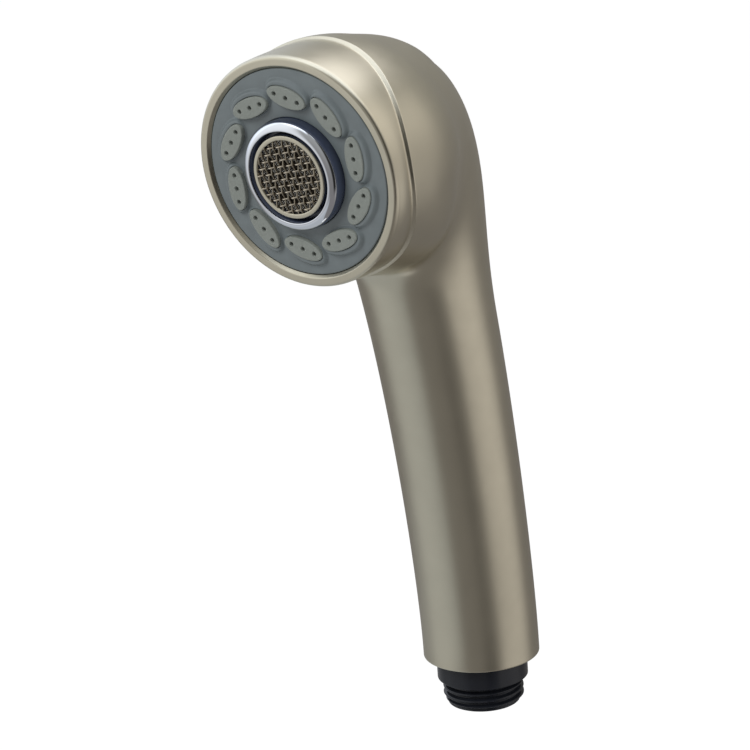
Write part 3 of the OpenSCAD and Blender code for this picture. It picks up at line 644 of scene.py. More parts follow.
class SPRAYHEAD_OT_casing(bpy.types.Operator):
    """Draw the handle and head casing, one smooth plated shell"""

    bl_idname = "sprayhead.casing"
    bl_label = "Casing"

    SIDES = 240
    # The rim's round ends a little before the skin, where the handle's loops begin.
    RIM_END, RIM_LOOPS = 84, 8
    FIRST_T = 0.006
    HANDLE_LOOPS, FAN_LOOPS, DRUM_LOOPS, EDGE_LOOPS = 72, 64, 16, 24
    INNER_HANDLE_LOOPS, INNER_FAN_LOOPS, INNER_DRUM_LOOPS = 24, 20, 6
    DRUM_STOP = 0.5 * MM

    def execute(self, context):
        form = CasingForm(context.scene)
        angles = full_turn(self.SIDES)
        grid = np.concatenate([self.rim(form, angles),
                               self.outside(form, angles),
                               self.edge(form, angles),
                               self.inside(form, angles)])
        shell = grid_mesh("casing", [grid], finish_for("nickel"), wrap_rows=True)
        dress(shell, HEAD, "body_shell")
        return {"FINISHED"}

    def rim(self, form, angles):
        """Quarter round of the bottom rim: height and level follow a circle."""
        turn = np.radians(np.linspace(0, self.RIM_END, self.RIM_LOOPS))
        r = form.casing.rim_round
        centre = np.zeros((len(turn), 3))
        centre[:, 2] = form.casing.rim_z + r * (1 - np.cos(turn))
        out = np.tile([0.0, 1, 0], (len(turn), 1))
        return form.around(centre, out, angles, -r * (1 - np.sin(turn)))

    def outside(self, form, angles):
        """Sections normal to the spine, then the fan past the neck, then the drum."""
        along = np.linspace(self.FIRST_T, form.NECK_T, self.HANDLE_LOOPS)
        handle = form.around(*form.handle_section(along), angles, 0)
        centre, out, pivot = form.fan_section(np.linspace(0, 1, self.FAN_LOOPS + 1)[1:])
        fan = form.around(centre, out, angles, 0)
        share = np.linspace(0, 1, self.DRUM_LOOPS + 1)[1:, None]
        drum_y = mix(pivot[1], form.edge_y(angles) + self.DRUM_STOP, share)
        return np.concatenate([handle, fan, form.drum_loops(drum_y, angles, 0)])

    def edge(self, form, angles):
        """The rounded front edge, down to the seam, whose corner is a little broken."""
        ahead = np.linspace(0, SEAM_AHEAD - SEAM_BREAK, self.EDGE_LOOPS)
        ahead = np.concatenate([ahead, [SEAM_AHEAD]])
        level = -form.edge_drop(ahead)
        level[-1] -= SEAM_BREAK
        return form.edge_loops(ahead, angles, level)

    def inside(self, form, angles):
        """The inner wall, one wall thickness in, from the seam back to the rim."""
        wall = -form.casing.wall
        centre, out, pivot = form.fan_section(np.linspace(1, 0, self.INNER_FAN_LOOPS + 1)[:-1])
        share = np.linspace(1, 0, self.INNER_DRUM_LOOPS + 1)[:-1, None]
        drum_y = mix(pivot[1], form.edge_y(angles) - SEAM_AHEAD, share)
        drum = form.drum_loops(drum_y, angles, wall)
        fan = form.around(centre, out, angles, wall)
        along = np.linspace(form.NECK_T, self.FIRST_T, self.INNER_HANDLE_LOOPS)
        handle = form.around(*form.handle_section(along), angles, wall)
        rim_centre = np.array([[0, 0, form.casing.rim_z]])
        rim = form.around(rim_centre, np.array([[0.0, 1, 0]]), angles, wall)
        return np.concatenate([drum, fan, handle, rim])


class SPRAYHEAD_OT_front_ring(bpy.types.Operator):
    """Draw the front ring: a lip round the plate and a band back to the casing's edge"""

    bl_idname = "sprayhead.front_ring"
    bl_label = "Front Ring"

    SIDES = 360
    COVE_LOOPS, BAND_LOOPS = 16, 22
    # The skirt's bore, its length and its room inside the casing's wall.
    INNER_R = 22.6 * MM
    SKIRT = 3.4 * MM
    SKIRT_CLEAR = 0.3 * MM
    LEDGE = -2.1 * MM
    LIP_BASE = -0.7 * MM
    LIP_WIDE = 0.85 * MM
    # The chamfer's gap from the plate, its width, and where its foot ends and breaks.
    PLATE_GAP = 0.1 * MM
    CHAMFER = 0.65 * MM
    CHAMFER_FOOT = -0.1 * MM
    FOOT_BREAK = (0.06 * MM, 0.08 * MM)
    SOFT = 0.22 * MM
    BULGE = 0.15 * MM

    def execute(self, context):
        form = CasingForm(context.scene)
        face = context.scene.spray_face
        angles = full_turn(self.SIDES)
        lip = self.lip(face)
        grid = np.concatenate([self.skirt(form, angles),
                               self.cove(form, angles),
                               self.band(form, face, angles),
                               form.face_point(lip[:, :1], angles[None], lip[:, 1:])])
        ring = grid_mesh("front_ring_shell", [grid], finish_for("nickel"), wrap_rows=True)
        dress(ring, HEAD, "front_ring")
        return {"FINISHED"}

    def skirt(self, form, angles):
        """The hidden skirt that centres the ring inside the casing."""
        start = SEAM_AHEAD + SEAM_GAP
        inside = -form.casing.wall - self.SKIRT_CLEAR
        rim = form.edge_loops([start - self.SKIRT, start], angles, inside)
        depth = ((rim[:1, :, 1] - form.face_y) * math.cos(form.tilt)
                 + (rim[:1, :, 2] - form.face_z) * math.sin(form.tilt))
        return np.concatenate([form.face_point(self.INNER_R, angles[None], self.LEDGE),
                               form.face_point(self.INNER_R, angles[None], -depth),
                               rim])

    def cove(self, form, angles):
        """From the seam, whose corner is a little broken, down the cove to its foot."""
        start, end = SEAM_AHEAD + SEAM_GAP, form.edge_ends()[1]
        ahead = np.linspace(start + SEAM_BREAK, end, self.COVE_LOOPS)
        ahead = np.concatenate([[start], ahead])
        level = -form.edge_drop(ahead)
        level[0] -= SEAM_BREAK
        return form.edge_loops(ahead, angles, level)

    def band(self, form, face, angles):
        """From the cove's foot to the lip: straight, with a slight bulge."""
        foot = form.edge_loops(form.edge_ends()[1], angles)
        front = form.face_point(face.lip_d / 2, angles[None], self.LIP_BASE)
        share = np.linspace(1, 0, self.BAND_LOOPS + 2)[1:-1, None, None]
        radial = np.stack([np.sin(angles), np.zeros_like(angles), np.cos(angles)], -1)
        return mix(front, foot, share) + self.BULGE * np.sin(np.pi * share) * radial

    def lip(self, face):
        """Rounded outer edge, narrow flat front and chamfer, as (radius, out)."""
        outer, inner, out = face.lip_d / 2, face.plate_d / 2 + self.PLATE_GAP, face.lip_out
        corner = inner + self.CHAMFER
        crown = arc((0, 0), 1.0, 0, 88, 20) * (self.LIP_WIDE, out - self.LIP_BASE)
        return profile(
            crown + (outer - self.LIP_WIDE, self.LIP_BASE),
            arc((corner + self.SOFT * 0.6, out - self.SOFT), self.SOFT, 90, 132, 6),
            (inner + self.FOOT_BREAK[0], self.CHAMFER_FOOT),
            (inner, self.CHAMFER_FOOT - self.FOOT_BREAK[1]),
            (inner, self.LEDGE))


# ---------------------------------------------------------------- face


def pad_frames(face):
    """Centre and long direction of each nozzle pad in face coordinates (x, y)."""
    turn = face.pad_start + np.arange(face.pads) * 2 * np.pi / face.pads
    centre = face.pad_ring_r * np.stack([np.sin(turn), np.cos(turn)], -1)
    lean = -turn - face.pad_turn
    return list(zip(centre, np.stack([np.cos(lean), np.sin(lean)], -1)))


def oval_distance(x, y, centre, long_way, half_l, half_w):
    """Rough distance outside an ellipse: its radius less one, over that radius's slope."""
    dx, dy = x - centre[0], y - centre[1]
    along = dx * long_way[0] + dy * long_way[1]
    across = -dx * long_way[1] + dy * long_way[0]
    radius = np.hypot(along / half_l, across / half_w)
    slope = np.hypot(along / half_l ** 2, across / half_w ** 2) / np.maximum(radius, 1e-6)
    return (radius - 1) / np.maximum(slope, 1e-6)


class SPRAYHEAD_OT_face_plate(bpy.types.Operator):
    """Draw the moulded face plate with a soft boss round each nozzle pad"""

    bl_idname = "sprayhead.face_plate"
    bl_label = "Face Plate"

    RINGS, SIDES = 76, 1140
    SLEEVE_GAP = 0.1 * MM
    EDGE_ROUND = 0.35 * MM
    BACK = -2.0 * MM
    # Each boss: how far its centre is pushed outwards, its margin round the pad, its
    # height and the width of its slope.
    HALO_OUT = 0.65 * MM
    HALO_MARGIN = 0.65 * MM
    HALO_HEIGHT = 1.0 * MM
    HALO_SLOPE = 1.0 * MM
    # The well under each pad: how far it shows round the pad, its depth and its slope.
    MOAT = 0.08 * MM
    WELL_DEPTH = 1.6 * MM
    WELL_SLOPE = 0.3 * MM

    def execute(self, context):
        form = CasingForm(context.scene)
        face, outlet = context.scene.spray_face, context.scene.spray_outlet
        inner = outlet.sleeve_d / 2 + self.SLEEVE_GAP
        outer = face.plate_d / 2
        angles = full_turn(self.SIDES)
        r, a = np.meshgrid(np.linspace(inner, outer - self.EDGE_ROUND, self.RINGS), angles,
                           indexing="ij")
        out = self.relief(face, r * np.sin(a), r * np.cos(a))
        edge = arc((outer - self.EDGE_ROUND, -self.EDGE_ROUND), self.EDGE_ROUND, 90, 0, 6)[1:]
        grid = np.concatenate([form.face_point(inner, angles[None], self.BACK),
                               form.face_point(r, a, out),
                               form.face_point(edge[:, :1], angles[None], edge[:, 1:]),
                               form.face_point(outer, angles[None], self.BACK)])
        plate = grid_mesh("face_plate", [grid], finish_for("face_plastic"), wrap_rows=True,
                          flip=True)
        dress(plate, HEAD, "spray_face")
        return {"FINISHED"}

    def relief(self, face, x, y):
        """Height of the plate: a soft boss pushed outwards from each pad, and a well."""
        height = np.zeros_like(x)
        half_l, half_w = face.pad_l / 2, face.pad_w / 2
        for centre, way in pad_frames(face):
            pushed = centre * (1 + self.HALO_OUT / face.pad_ring_r)
            far = oval_distance(x, y, pushed, way, half_l + self.HALO_MARGIN,
                                half_w + self.HALO_MARGIN)
            height = np.maximum(height, self.HALO_HEIGHT * ease(0.5 - far / self.HALO_SLOPE))
            near = oval_distance(x, y, centre, way, half_l, half_w)
            height = height - self.WELL_DEPTH * ease((self.MOAT - near) / self.WELL_SLOPE)
        return height


class SPRAYHEAD_OT_nozzle_pads(bpy.types.Operator):
    """Draw the silicone nozzle pads, each with its row of spray holes"""

    bl_idname = "sprayhead.nozzle_pads"
    bl_label = "Nozzle Pads"

    STEPS = (112, 56)
    HEIGHT = 1.45 * MM
    SHOULDER = 0.35 * MM
    # The skin's border is tucked this deep into the plate's well.
    BORDER = 0.02 * MM
    TUCK = -1.0 * MM
    # Each hole: its depth, the width of its slope and how far that lies outside it.
    DEPTH = 1.4 * MM
    HOLE_SLOPE = 0.16 * MM
    HOLE_MARGIN = 0.06 * MM

    def execute(self, context):
        form = CasingForm(context.scene)
        face = context.scene.spray_face
        square = np.meshgrid(*(np.linspace(-1, 1, count) for count in self.STEPS), indexing="ij")
        skins = [self.pad(form, face, *pad, *square) for pad in pad_frames(face)]
        pads = grid_mesh("nozzle_pads", skins, finish_for("nozzle_rubber"), wrap_columns=False)
        dress(pads, HEAD, "nozzle_membrane")
        return {"FINISHED"}

    def pad(self, form, face, centre, way, u, v):
        """A pad's skin: the unit square mapped to an ellipse, domed, with three dips."""
        along = u * np.sqrt(1 - v * v / 2) * face.pad_l / 2
        across = v * np.sqrt(1 - u * u / 2) * face.pad_w / 2
        far = oval_distance(along, across, (0, 0), (1, 0), face.pad_l / 2, face.pad_w / 2)
        inside = np.clip(-far / self.SHOULDER, 0, 1)
        out = self.HEIGHT - self.SHOULDER * (1 - np.sqrt(1 - (1 - inside) ** 2))
        out = np.where(far > -self.BORDER, self.TUCK, out)
        for k in (-1, 0, 1):
            reach = np.hypot(along - k * face.hole_pitch, across)
            within = face.hole_d / 2 + self.HOLE_MARGIN - reach
            out = out - self.DEPTH * ease(within / self.HOLE_SLOPE)
        x = centre[0] + along * way[0] - across * way[1]
        y = centre[1] + along * way[1] + across * way[0]
        return form.face_point(np.hypot(x, y), np.arctan2(x, y), out)


# ---------------------------------------------------------------- stream outlet


def face_revolve(name, form, outline, finish, sides=256):
    """Turns an outline of (radius, distance in front of the face) about the face's axis."""
    outline = outline[::-1]
    grid = form.face_point(outline[:, :1], full_turn(sides)[None], outline[:, 1:])
    return grid_mesh(name, [grid], finish_for(finish), wrap_rows=True)


class SPRAYHEAD_OT_selector_sleeve(bpy.types.Operator):
    """Draw the bright selector sleeve, which pulls out of the face"""

    bl_idname = "sprayhead.selector_sleeve"
    bl_label = "Selector Sleeve"

    NOSE = 2.05 * MM
    INNER_EDGE = 0.18 * MM
    # The plated cap over the dark core, whose colour is painted shade on the sleeve's wall: where
    # it starts on the nose, in degrees, its thickness and the hairline under it.
    PLATED_FROM = 30
    CAP = 0.5 * MM
    CLEAR = 0.02 * MM
    # The flange inside the head: its width, its back and its front.
    FLANGE = 1.6 * MM
    FLANGE_BACK, FLANGE_FRONT = -7.2 * MM, -6.2 * MM

    def execute(self, context):
        form = CasingForm(context.scene)
        outlet = context.scene.spray_outlet
        inner, outer = outlet.sleeve_bore_d / 2, outlet.sleeve_d / 2
        crest = outlet.sleeve_out
        nose = (outer - self.NOSE, crest - self.NOSE)
        edge = (inner + self.INNER_EDGE, crest - self.INNER_EDGE)
        under = self.NOSE - self.CAP
        cap = profile(
            arc(nose, self.NOSE, self.PLATED_FROM, 88, 24),
            arc(edge, self.INNER_EDGE, 90, 180, 6),
            (inner, crest - self.CAP),
            arc(nose, under, 90, self.PLATED_FROM, 12))
        dress(face_revolve("sleeve_nose", form, cap, "chrome"),
              SELECTOR, "aerator_sleeve")
        # The dark core, whose colour is painted shade on the sleeve's wall.
        core = profile(
            (inner, self.FLANGE_BACK),
            (outer + self.FLANGE, self.FLANGE_BACK),
            (outer + self.FLANGE, self.FLANGE_FRONT),
            (outer, self.FLANGE_FRONT),
            arc(nose, self.NOSE, 0, self.PLATED_FROM - 1, 10),
            arc(nose, under - self.CLEAR, self.PLATED_FROM - 1, 90, 12),
            (inner, crest - self.CAP - self.CLEAR))
        dress(face_revolve("sleeve_core", form, core, "core_plastic"),
              SELECTOR, "aerator_sleeve")
        return {"FINISHED"}


class SPRAYHEAD_OT_aerator(bpy.types.Operator):
    """Draw the outlet's rim and its woven screens"""

    bl_idname = "sprayhead.aerator"
    bl_label = "Aerator"

    # The plated cap of the rim: its crest, thickness and rounding.
    CREST = 3.65 * MM
    CAP = 0.6 * MM
    CORNER = 0.3 * MM
    # Hairline between the parts of the outlet.
    CLEAR = 0.02 * MM
    # The collar's flange: its width, its back and its front. The collar's dark colour is painted
    # shade in the groove round the rim.
    FLANGE = 1.0 * MM
    FLANGE_BACK, FLANGE_FRONT = -2.8 * MM, 0.6 * MM
    # Turns of the outer and inner screen about the face's axis, in degrees.
    LEAN, FINE_LEAN = 11.0, 47.0
    # Place of one crossing of the outer screen where the level wire is on top.
    CROSSING = (0.9 * MM, -0.35 * MM)
    # How far the inner screen lies behind the outer one.
    FINE_DROP = 0.66 * MM
    # How far the wires run on into the rim.
    TUCK = 0.05 * MM
    # Longest step along a wire, also as a share of the pitch.
    WIRE_STEP, WIRE_SHARE = 0.12 * MM, 0.25
    RING_SIDES = 8
    # A dark disc behind the screens, which is painted shade: its back, its thickness, its bore
    # and its sides.
    BACKING = 2.2 * MM
    SHADE_DISC_THICK = 0.1 * MM
    SHADE_DISC_BORE = 0.05 * MM
    SHADE_DISC_SIDES = 96

    def execute(self, context):
        form = CasingForm(context.scene)
        outlet = context.scene.spray_outlet
        self.rim(form, outlet)
        coarse = (outlet.wire_d, (outlet.wire_pitch, outlet.row_pitch), self.CROSSING)
        fine = (outlet.fine_d, (outlet.fine_pitch, outlet.fine_pitch), (0, 0))
        for name, lean, drop, weave, runs, finish in (
                ("level_wires", self.LEAN, 0, coarse, (0,), "steel"),
                # The upright wires take a darker copy of the level wires' steel: painted shade.
                ("upright_wires", self.LEAN, 0, coarse, (1,), "stained_steel"),
                # The inner screen is near-black, as painted shade behind the outer screen.
                ("inner_screen", self.FINE_LEAN, self.FINE_DROP, fine, (0, 1), "deep_steel")):
            tubes = [self.placed(form, tube, lean + 90 * run, outlet.screen_out - drop)
                     for run in runs for tube in self.wires(outlet.screen_d / 2, run, *weave)]
            dress(grid_mesh(name, tubes, finish_for(finish)),
                  SELECTOR, "aerator_screen")
        # A dark disc behind the screens stands in for the shade there: painted shade.
        disc_r, front = outlet.screen_d / 2 - self.CLEAR, self.BACKING + self.SHADE_DISC_THICK
        disc = profile((self.SHADE_DISC_BORE, self.BACKING), (disc_r, self.BACKING),
                       (disc_r, front), (self.SHADE_DISC_BORE, front))
        dress(face_revolve("screen_backing", form, disc, "deep_steel", self.SHADE_DISC_SIDES),
              SELECTOR, "aerator_screen")
        return {"FINISHED"}

    def rim(self, form, outlet):
        """The plated cap of the rim, over the collar that seats in the sleeve, whose dark colour
        is painted shade in the groove.
        """
        outer, inner = outlet.rim_d / 2, outlet.screen_d / 2
        low, turn = self.CREST - self.CAP, self.CREST - self.CORNER
        cap = profile(
            (inner, low),
            (outer, low),
            arc((outer - self.CORNER, turn), self.CORNER, 0, 90, 8),
            arc((inner + self.CORNER, turn), self.CORNER, 90, 180, 6))
        dress(face_revolve("aerator_rim", form, cap, "nickel"),
              SELECTOR, "aerator_housing")
        collar = profile(
            (inner, self.FLANGE_BACK),
            (outer + self.FLANGE, self.FLANGE_BACK),
            (outer + self.FLANGE, self.FLANGE_FRONT),
            (outer - self.CLEAR, self.FLANGE_FRONT),
            (outer - self.CLEAR, low - self.CLEAR),
            (inner, low - self.CLEAR))
        dress(face_revolve("aerator_collar", form, collar, "core_plastic"),
              SELECTOR, "aerator_housing")

    def placed(self, form, tube, lean, out):
        """A tube's points turned about the face's axis and set in front of the face."""
        turn = math.radians(lean)
        x = tube[..., 0] * math.cos(turn) - tube[..., 1] * math.sin(turn)
        y = tube[..., 0] * math.sin(turn) + tube[..., 1] * math.cos(turn)
        return form.face_point(np.hypot(x, y), np.arctan2(x, y), out + tube[..., 2])

    def wires(self, screen_r, run, wire_d, pitches, crossing):
        """Plain weave of the level wires (run 0) or upright ones, cut to a circle.

        Each wire rises and dips by a cosine, over and under in turn."""
        limit = screen_r + self.TUCK
        step, spacing = pitches[run], pitches[1 - run]
        start, side = crossing if run == 0 else (crossing[1], -crossing[0])
        longest = min(self.WIRE_STEP, self.WIRE_SHARE * step)
        reach = int(limit / spacing) + 1
        tubes = []
        for row in range(-reach, reach + 1):
            across = side + row * spacing
            half = math.sqrt(max(limit ** 2 - across ** 2, 0))
            if half < spacing:
                continue
            s = np.linspace(-half, half, max(8, int(2 * half / longest)))
            rise = wire_d / 2 * np.cos(math.pi * ((s - start) / step + row + run))
            tubes.append(self.tube(np.stack([s, np.full_like(s, across), rise], -1), wire_d / 2))
        return tubes

    def tube(self, line, radius):
        """A round tube along a line that runs in x and rises in z."""
        slope = np.gradient(line[:, 2], line[:, 0])
        a = full_turn(self.RING_SIDES)
        lift = np.stack([-slope, np.zeros_like(slope), np.ones_like(slope)], -1)
        lift /= np.linalg.norm(lift, axis=1, keepdims=True)
        side = np.array([0.0, 1.0, 0.0])
        ring = np.cos(a)[None, :, None] * side + np.sin(a)[None, :, None] * lift[:, None, :]
        return line[:, None, :] + radius * ring


# ---------------------------------------------------------------- connector


class SPRAYHEAD_OT_connector(bpy.types.Operator):
    """Draw the hose connector with its rounded pipe thread"""

    bl_idname = "sprayhead.connector"
    bl_label = "Hose Connector"

    SIDES = 256
    BORE_R, BORE_CHAMFER = 7.1 * MM, 0.25 * MM
    PILOT_R, PILOT_ROUND = 9.4 * MM, 0.25 * MM
    # Length of the pilot below the full thread.
    PILOT_L = 1.05 * MM
    COLLAR_TOP, COLLAR_ROUND = 8.0 * MM, 0.12 * MM
    COLLAR_STEP, COLLAR_BEVEL = 0.3 * MM, 0.1 * MM
    TOP = 14.0 * MM
    THREAD_DEPTH = 1.16 * MM
    THREAD_LOOPS = 100
    # How far the thread runs on below and above its full length, the heights over which
    # it fades out there, and the share with which its upper fade starts.
    RUN_BELOW, RUN_ABOVE = 0.35 * MM, 0.6 * MM
    FADE_LOW, FADE_HIGH = 0.9 * MM, 0.7 * MM
    FADE_START = 0.15
    # Step from the thread's ends to the plain pilot.
    THREAD_STEP = 0.05 * MM
    # How hard the cosine is pressed towards flat crests and roots.
    PRESS = 1.4

    def execute(self, context):
        outlet = context.scene.spray_outlet
        collar = outlet.collar_d / 2
        end = -outlet.thread_l - self.PILOT_L
        lower = profile(
            (self.BORE_R, self.TOP),
            (self.BORE_R, end + self.BORE_CHAMFER),
            (self.BORE_R + self.BORE_CHAMFER, end),
            arc((self.PILOT_R - self.PILOT_ROUND, end + self.PILOT_ROUND), self.PILOT_ROUND,
                -90, 0, 6),
            (self.PILOT_R, -outlet.thread_l - self.RUN_BELOW - self.THREAD_STEP))
        z = np.linspace(-outlet.thread_l - self.RUN_BELOW, self.RUN_ABOVE, self.THREAD_LOOPS)
        z = z[:, None]
        upper = profile(
            (self.PILOT_R, self.RUN_ABOVE + self.THREAD_STEP),
            (self.PILOT_R, outlet.relief_l),
            arc((collar - self.COLLAR_ROUND, outlet.relief_l + self.COLLAR_ROUND),
                self.COLLAR_ROUND, -90, 0, 5),
            (collar, self.COLLAR_TOP),
            (collar - self.COLLAR_STEP, self.COLLAR_TOP + self.COLLAR_BEVEL),
            (collar - self.COLLAR_STEP, self.TOP))
        grid = np.concatenate([self.turned(lower[:, :1], lower[:, 1:]),
                               self.turned(self.thread_r(outlet, z), z),
                               self.turned(upper[:, :1], upper[:, 1:])])
        piece = grid_mesh("threaded_connector", [grid], finish_for("black_plastic"),
                          wrap_rows=True)
        dress(piece, HEAD, "hose_connector")
        return {"FINISHED"}

    def turned(self, r, z):
        """Points at radii and heights, turned about the hose axis."""
        a = full_turn(self.SIDES)
        return np.stack(np.broadcast_arrays(r * np.cos(a), r * np.sin(a), z), -1)

    def thread_r(self, outlet, z):
        """Rounded thread: the radius is a softened cosine of height and turn together."""
        phase = np.cos(2 * np.pi * z / outlet.thread_pitch - full_turn(self.SIDES))
        crest = 0.5 + 0.5 * np.tanh(self.PRESS * phase) / math.tanh(self.PRESS)
        low_fade = ease((z - z[0]) / self.FADE_LOW)
        high_fade = ease((z[-1] - z) / self.FADE_HIGH + self.FADE_START)
        return outlet.thread_d / 2 - self.THREAD_DEPTH * (1 - crest * low_fade * high_fade)


class SPRAYHEAD_OT_inner_parts(bpy.types.Operator):
    """Give every working part inside the casing its finish"""

    bl_idname = "sprayhead.inner_parts"
    bl_label = "Inner Parts"

    def execute(self, context):
        for part in frame["record"]["subparts"]:
            materials = NODES[part["node"]].data.materials
            materials.clear()
            materials.append(finish_for(part["material_slot"]))
        return {"FINISHED"}


# ---------------------------------------------------------------- stage


class SPRAYHEAD_OT_stage(bpy.types.Operator):
    """Set the floor, the light tent, the lamps, the world and the camera"""

    bl_idname = "sprayhead.stage"
    bl_label = "Stage"

    # Camera: its place, its view as a turn about an axis, in radians, and its lens.
    CAMERA_AT = Vector((0.4284056, -0.6115695, 0.3052546))
    CAMERA_TURN = Vector((1.81024, 0.53381, -0.48985))
    FOCAL_PIXELS = 3075.734
    FRAME_PIXELS = 750
    SENSOR_MM = 36.0
    CLIP = (0.01, 50.0)

    # Floor: how far it lies below the part, its half width, its glow and its paint.
    FLOOR_DROP = 0.5
    FLOOR_HALF = 6.0
    FLOOR_GLOW = 0.9
    FLOOR_PAINT = (0.25, 0.25, 0.25)

    # Tent and lamps surround this point.
    AIM = Vector((0.0, -0.020, 0.092))
    TENT_R = 0.6
    TENT_SIDES, TENT_RINGS, TENT_POLE = 96, 49, 89.5
    # Windows of the tent: azimuth and elevation of the centre, half width, half
    # height and softness in degrees, and colour. Azimuth is from +Y towards +X.
    WINDOWS = (
        (75, -22, 30, 14, 19, (0.61, 0.59, 0.57)),
        (60, 46, 8, 37, 30, (0.62, 0.58, 0.54)),
        (225, 29, 12, 54, 29, (0.64, 0.66, 0.67)),
        (280, 30, 29, 30, 17, (0.67, 0.74, 0.86)),
        (355, 57, 36, 7, 5, (1.24, 1.19, 1.21)),
        (332, 84, 180, 22, 14, (1.15, 1.23, 1.38)),
        (261, -62, 79, 32, 5, (0.25, 0.28, 0.30)),
    )
    # Black flag beside the camera, given like a window, and how much it takes away.
    FLAG = (121, 14, 14, 46, 9, 0.92)
    # Cloth: its glow everywhere, and what is added from one elevation to another.
    TENT_BASE = (0.21, 0.20, 0.195)
    TENT_SKY = (0.16, 0.17, 0.16)
    SKY_FROM_TO = (-26, 58)
    # Height on the unit ball that is added to a window's lower step, so it has a width.
    LEAST_STEP = 1e-3

    # Lamps: name, place and watts. World: its strength for light that nothing mirrors.
    LAMPS = (("key_lamp", (-0.25, -0.75, 0.75), 7.0),
             ("fill_lamp", (0.75, -0.1, 0.35), 3.0))
    LAMP_SIZE = 0.5
    WORLD_FILL = 0.55

    def execute(self, context):
        self.camera(context.scene)
        self.floor()
        self.tent()
        self.lamps(context.scene)
        self.world(context.scene)
        return {"FINISHED"}

    def camera(self, scene):
        """Camera whose axes are the rows of its view's rotation."""
        turn = self.CAMERA_TURN
        rows = Matrix.Rotation(turn.length, 3, turn.normalized())
        axes = Matrix((rows[0], -rows[1], -rows[2])).transposed()
        data = bpy.data.cameras.new("camera")
        data.sensor_width = self.SENSOR_MM
        data.lens = self.SENSOR_MM * self.FOCAL_PIXELS / self.FRAME_PIXELS
        data.clip_start, data.clip_end = self.CLIP
        scene.camera = bpy.data.objects.new("camera", data)
        scene.camera.matrix_world = Matrix.Translation(self.CAMERA_AT) @ axes.to_4x4()
        scene.collection.objects.link(scene.camera)

    def floor(self):
        """Pale floor, well below the part, which glows white and keeps its shadow."""
        ends = (-self.FLOOR_HALF, self.FLOOR_HALF)
        corners = np.array([[(x, y, CAD_LOW[2] - self.FLOOR_DROP) for x in ends] for y in ends])
        material, tree = glowing_material("floor_white")
        glow = add_node(tree, "Emission", named={"Strength": self.FLOOR_GLOW})
        paint = add_node(tree, "BsdfDiffuse", named={"Color": self.FLOOR_PAINT})
        finish_tree(tree, "Material", add_node(tree, "AddShader", glow, paint))
        grid_mesh("floor", [corners], material, wrap_columns=False)

    def tent(self):
        """A light tent that only reflections see: grey cloth with soft windows."""
        tilts = np.radians(np.linspace(-self.TENT_POLE, self.TENT_POLE, self.TENT_RINGS))
        a, e = np.meshgrid(full_turn(self.TENT_SIDES), tilts)
        ball = np.stack([np.sin(a) * np.cos(e), np.cos(a) * np.cos(e), np.sin(e)], -1)
        tent = grid_mesh("light_tent", [ball * self.TENT_R + np.array(self.AIM)],
                         self.tent_cloth())
        for ray in ("camera", "diffuse", "shadow", "transmission"):
            setattr(tent, "visible_" + ray, False)

    def tent_cloth(self):
        """Glow of the tent: the base plus each window's soft box in azimuth and height."""
        material, tree = glowing_material("tent_cloth")

        def number(kind, *inputs):
            """One sum or product of numbers."""
            return add_node(tree, "Math", *inputs, operation=kind)

        def vector(kind, *inputs, output="Vector"):
            """One step of vector reckoning."""
            return add_node(tree, "VectorMath", *inputs, operation=kind, output=output)

        def scaled(colour, amount):
            """A colour times a number."""
            return add_node(tree, "VectorMath", colour, operation="SCALE",
                            named={"Scale": amount})

        def step(value, low, high):
            """Smooth step: 0 below low and 1 above high."""
            return add_node(tree, "MapRange", value, low, high,
                            interpolation_type="SMOOTHSTEP")

        def sine(elevation):
            """Height of an elevation in degrees on the unit ball, held at the poles."""
            return math.sin(math.radians(min(max(elevation, -90), 90)))

        def window(azimuth, elevation, half_w, half_h, soft):
            """A soft box: a step in azimuth times a step up, and one down below the pole."""
            a = math.radians(azimuth)
            facing = vector("DOT_PRODUCT", level, (math.sin(a), math.cos(a), 0), output="Value")
            box = step(facing, math.cos(math.radians(min(half_w + soft, 180))),
                       math.cos(math.radians(max(half_w - soft, 0))))
            low, high = elevation - half_h, elevation + half_h
            tall = step(height, sine(low - soft), sine(low + soft) + self.LEAST_STEP)
            if high - soft < 90:
                top = step(height, sine(high - soft), sine(high + soft))
                tall = number("MULTIPLY", tall, number("SUBTRACT", 1.0, top))
            return number("MULTIPLY", box, tall)

        place = add_node(tree, "TexCoord", output="Object")
        away = vector("NORMALIZE", vector("SUBTRACT", place, self.AIM))
        height = vector("DOT_PRODUCT", away, (0, 0, 1), output="Value")
        level = vector("NORMALIZE", vector("MULTIPLY", away, (1, 1, 0)))
        sky = step(height, *(sine(elevation) for elevation in self.SKY_FROM_TO))
        glow = vector("ADD", scaled(self.TENT_SKY, sky), self.TENT_BASE)
        for *box, tone in self.WINDOWS:
            glow = vector("ADD", glow, scaled(tone, window(*box)))
        *box, taken = self.FLAG
        left = number("SUBTRACT", 1.0, number("MULTIPLY", window(*box), taken))
        glow = add_node(tree, "Emission", named={"Color": scaled(glow, left)})
        finish_tree(tree, "Material", glow)
        return material

    def lamps(self, scene):
        """Two soft boxes: a key above and to the left of the camera, and a fill."""
        for name, place, watts in self.LAMPS:
            data = bpy.data.lights.new(name, "AREA")
            data.shape = "DISK"
            data.size = self.LAMP_SIZE
            data.energy = watts
            lamp = bpy.data.objects.new(name, data)
            lamp.location = place
            aim = self.AIM - Vector(place)
            lamp.rotation_euler = aim.to_track_quat("-Z", "Y").to_euler()
            lamp.visible_glossy = False
            scene.collection.objects.link(lamp)

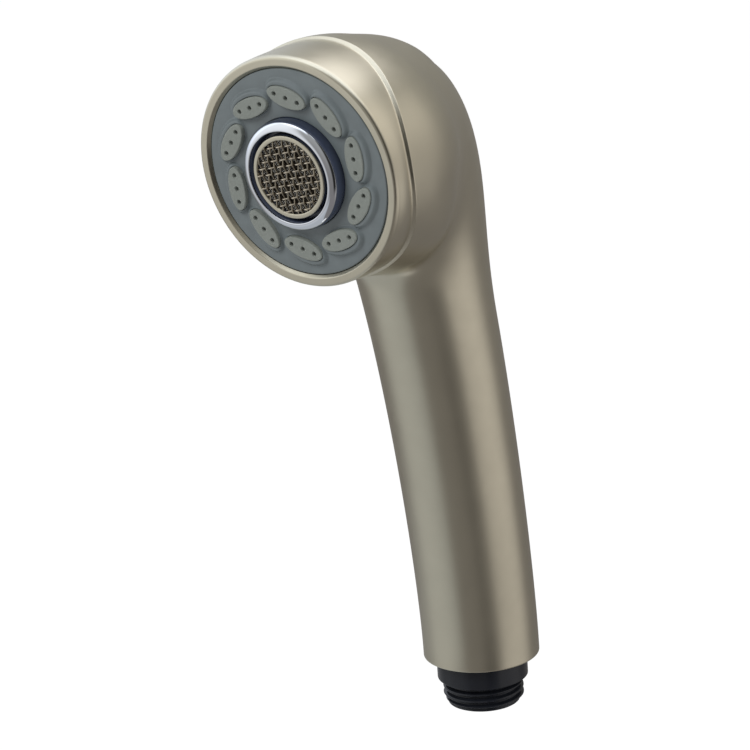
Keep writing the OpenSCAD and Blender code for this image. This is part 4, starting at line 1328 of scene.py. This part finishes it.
    def world(self, scene):
        """White to the camera, to reflections and through glass, and a soft fill elsewhere."""
        scene.world = bpy.data.worlds.new("studio")
        scene.world.use_nodes = True
        tree = scene.world.node_tree
        tree.nodes.clear()
        path = tree.nodes.new("ShaderNodeLightPath").outputs
        seen = path["Is Camera Ray"]
        for ray in ("Is Glossy Ray", "Is Transmission Ray"):
            seen = add_node(tree, "Math", seen, path[ray], operation="MAXIMUM")
        strength = add_node(tree, "MapRange", seen,
                            named={"To Min": self.WORLD_FILL, "To Max": 1.0})
        finish_tree(tree, "World", add_node(tree, "Background", named={"Strength": strength}))
        scene.view_settings.view_transform = "Standard"


# ---------------------------------------------------------------- panel and main


OPERATORS = (
    SPRAYHEAD_OT_stage,
    SPRAYHEAD_OT_inner_parts,
    SPRAYHEAD_OT_casing,
    SPRAYHEAD_OT_front_ring,
    SPRAYHEAD_OT_face_plate,
    SPRAYHEAD_OT_nozzle_pads,
    SPRAYHEAD_OT_selector_sleeve,
    SPRAYHEAD_OT_aerator,
    SPRAYHEAD_OT_connector,
)
GROUPS = {
    "spray_casing": CasingSettings,
    "spray_face": FaceSettings,
    "spray_outlet": OutletSettings,
    "spray_finish": FinishSettings,
}


class VIEW3D_PT_spray_head(bpy.types.Panel):
    """Lists the pieces of the spray head in the sidebar"""

    bl_label = "Spray Head"
    bl_idname = "VIEW3D_PT_spray_head"
    bl_space_type = "VIEW_3D"
    bl_region_type = "UI"
    bl_category = "Spray Head"

    def draw(self, context):
        for operator in OPERATORS:
            self.layout.operator(operator.bl_idname)


CLASSES = (*GROUPS.values(), *OPERATORS, VIEW3D_PT_spray_head)


def register():
    """Registers the classes and hangs the settings on the scene."""
    for cls in CLASSES:
        bpy.utils.register_class(cls)
    for name, group in GROUPS.items():
        setattr(bpy.types.Scene, name, PointerProperty(type=group))


def unregister():
    """Takes the settings and the classes away again."""
    for name in GROUPS:
        delattr(bpy.types.Scene, name)
    for cls in reversed(CLASSES):
        bpy.utils.unregister_class(cls)


def main():
    """Draws the spray head."""
    register()
    for operator in OPERATORS:
        group, name = operator.bl_idname.split(".")
        getattr(getattr(bpy.ops, group), name)()


if __name__ == "__main__":
    main()
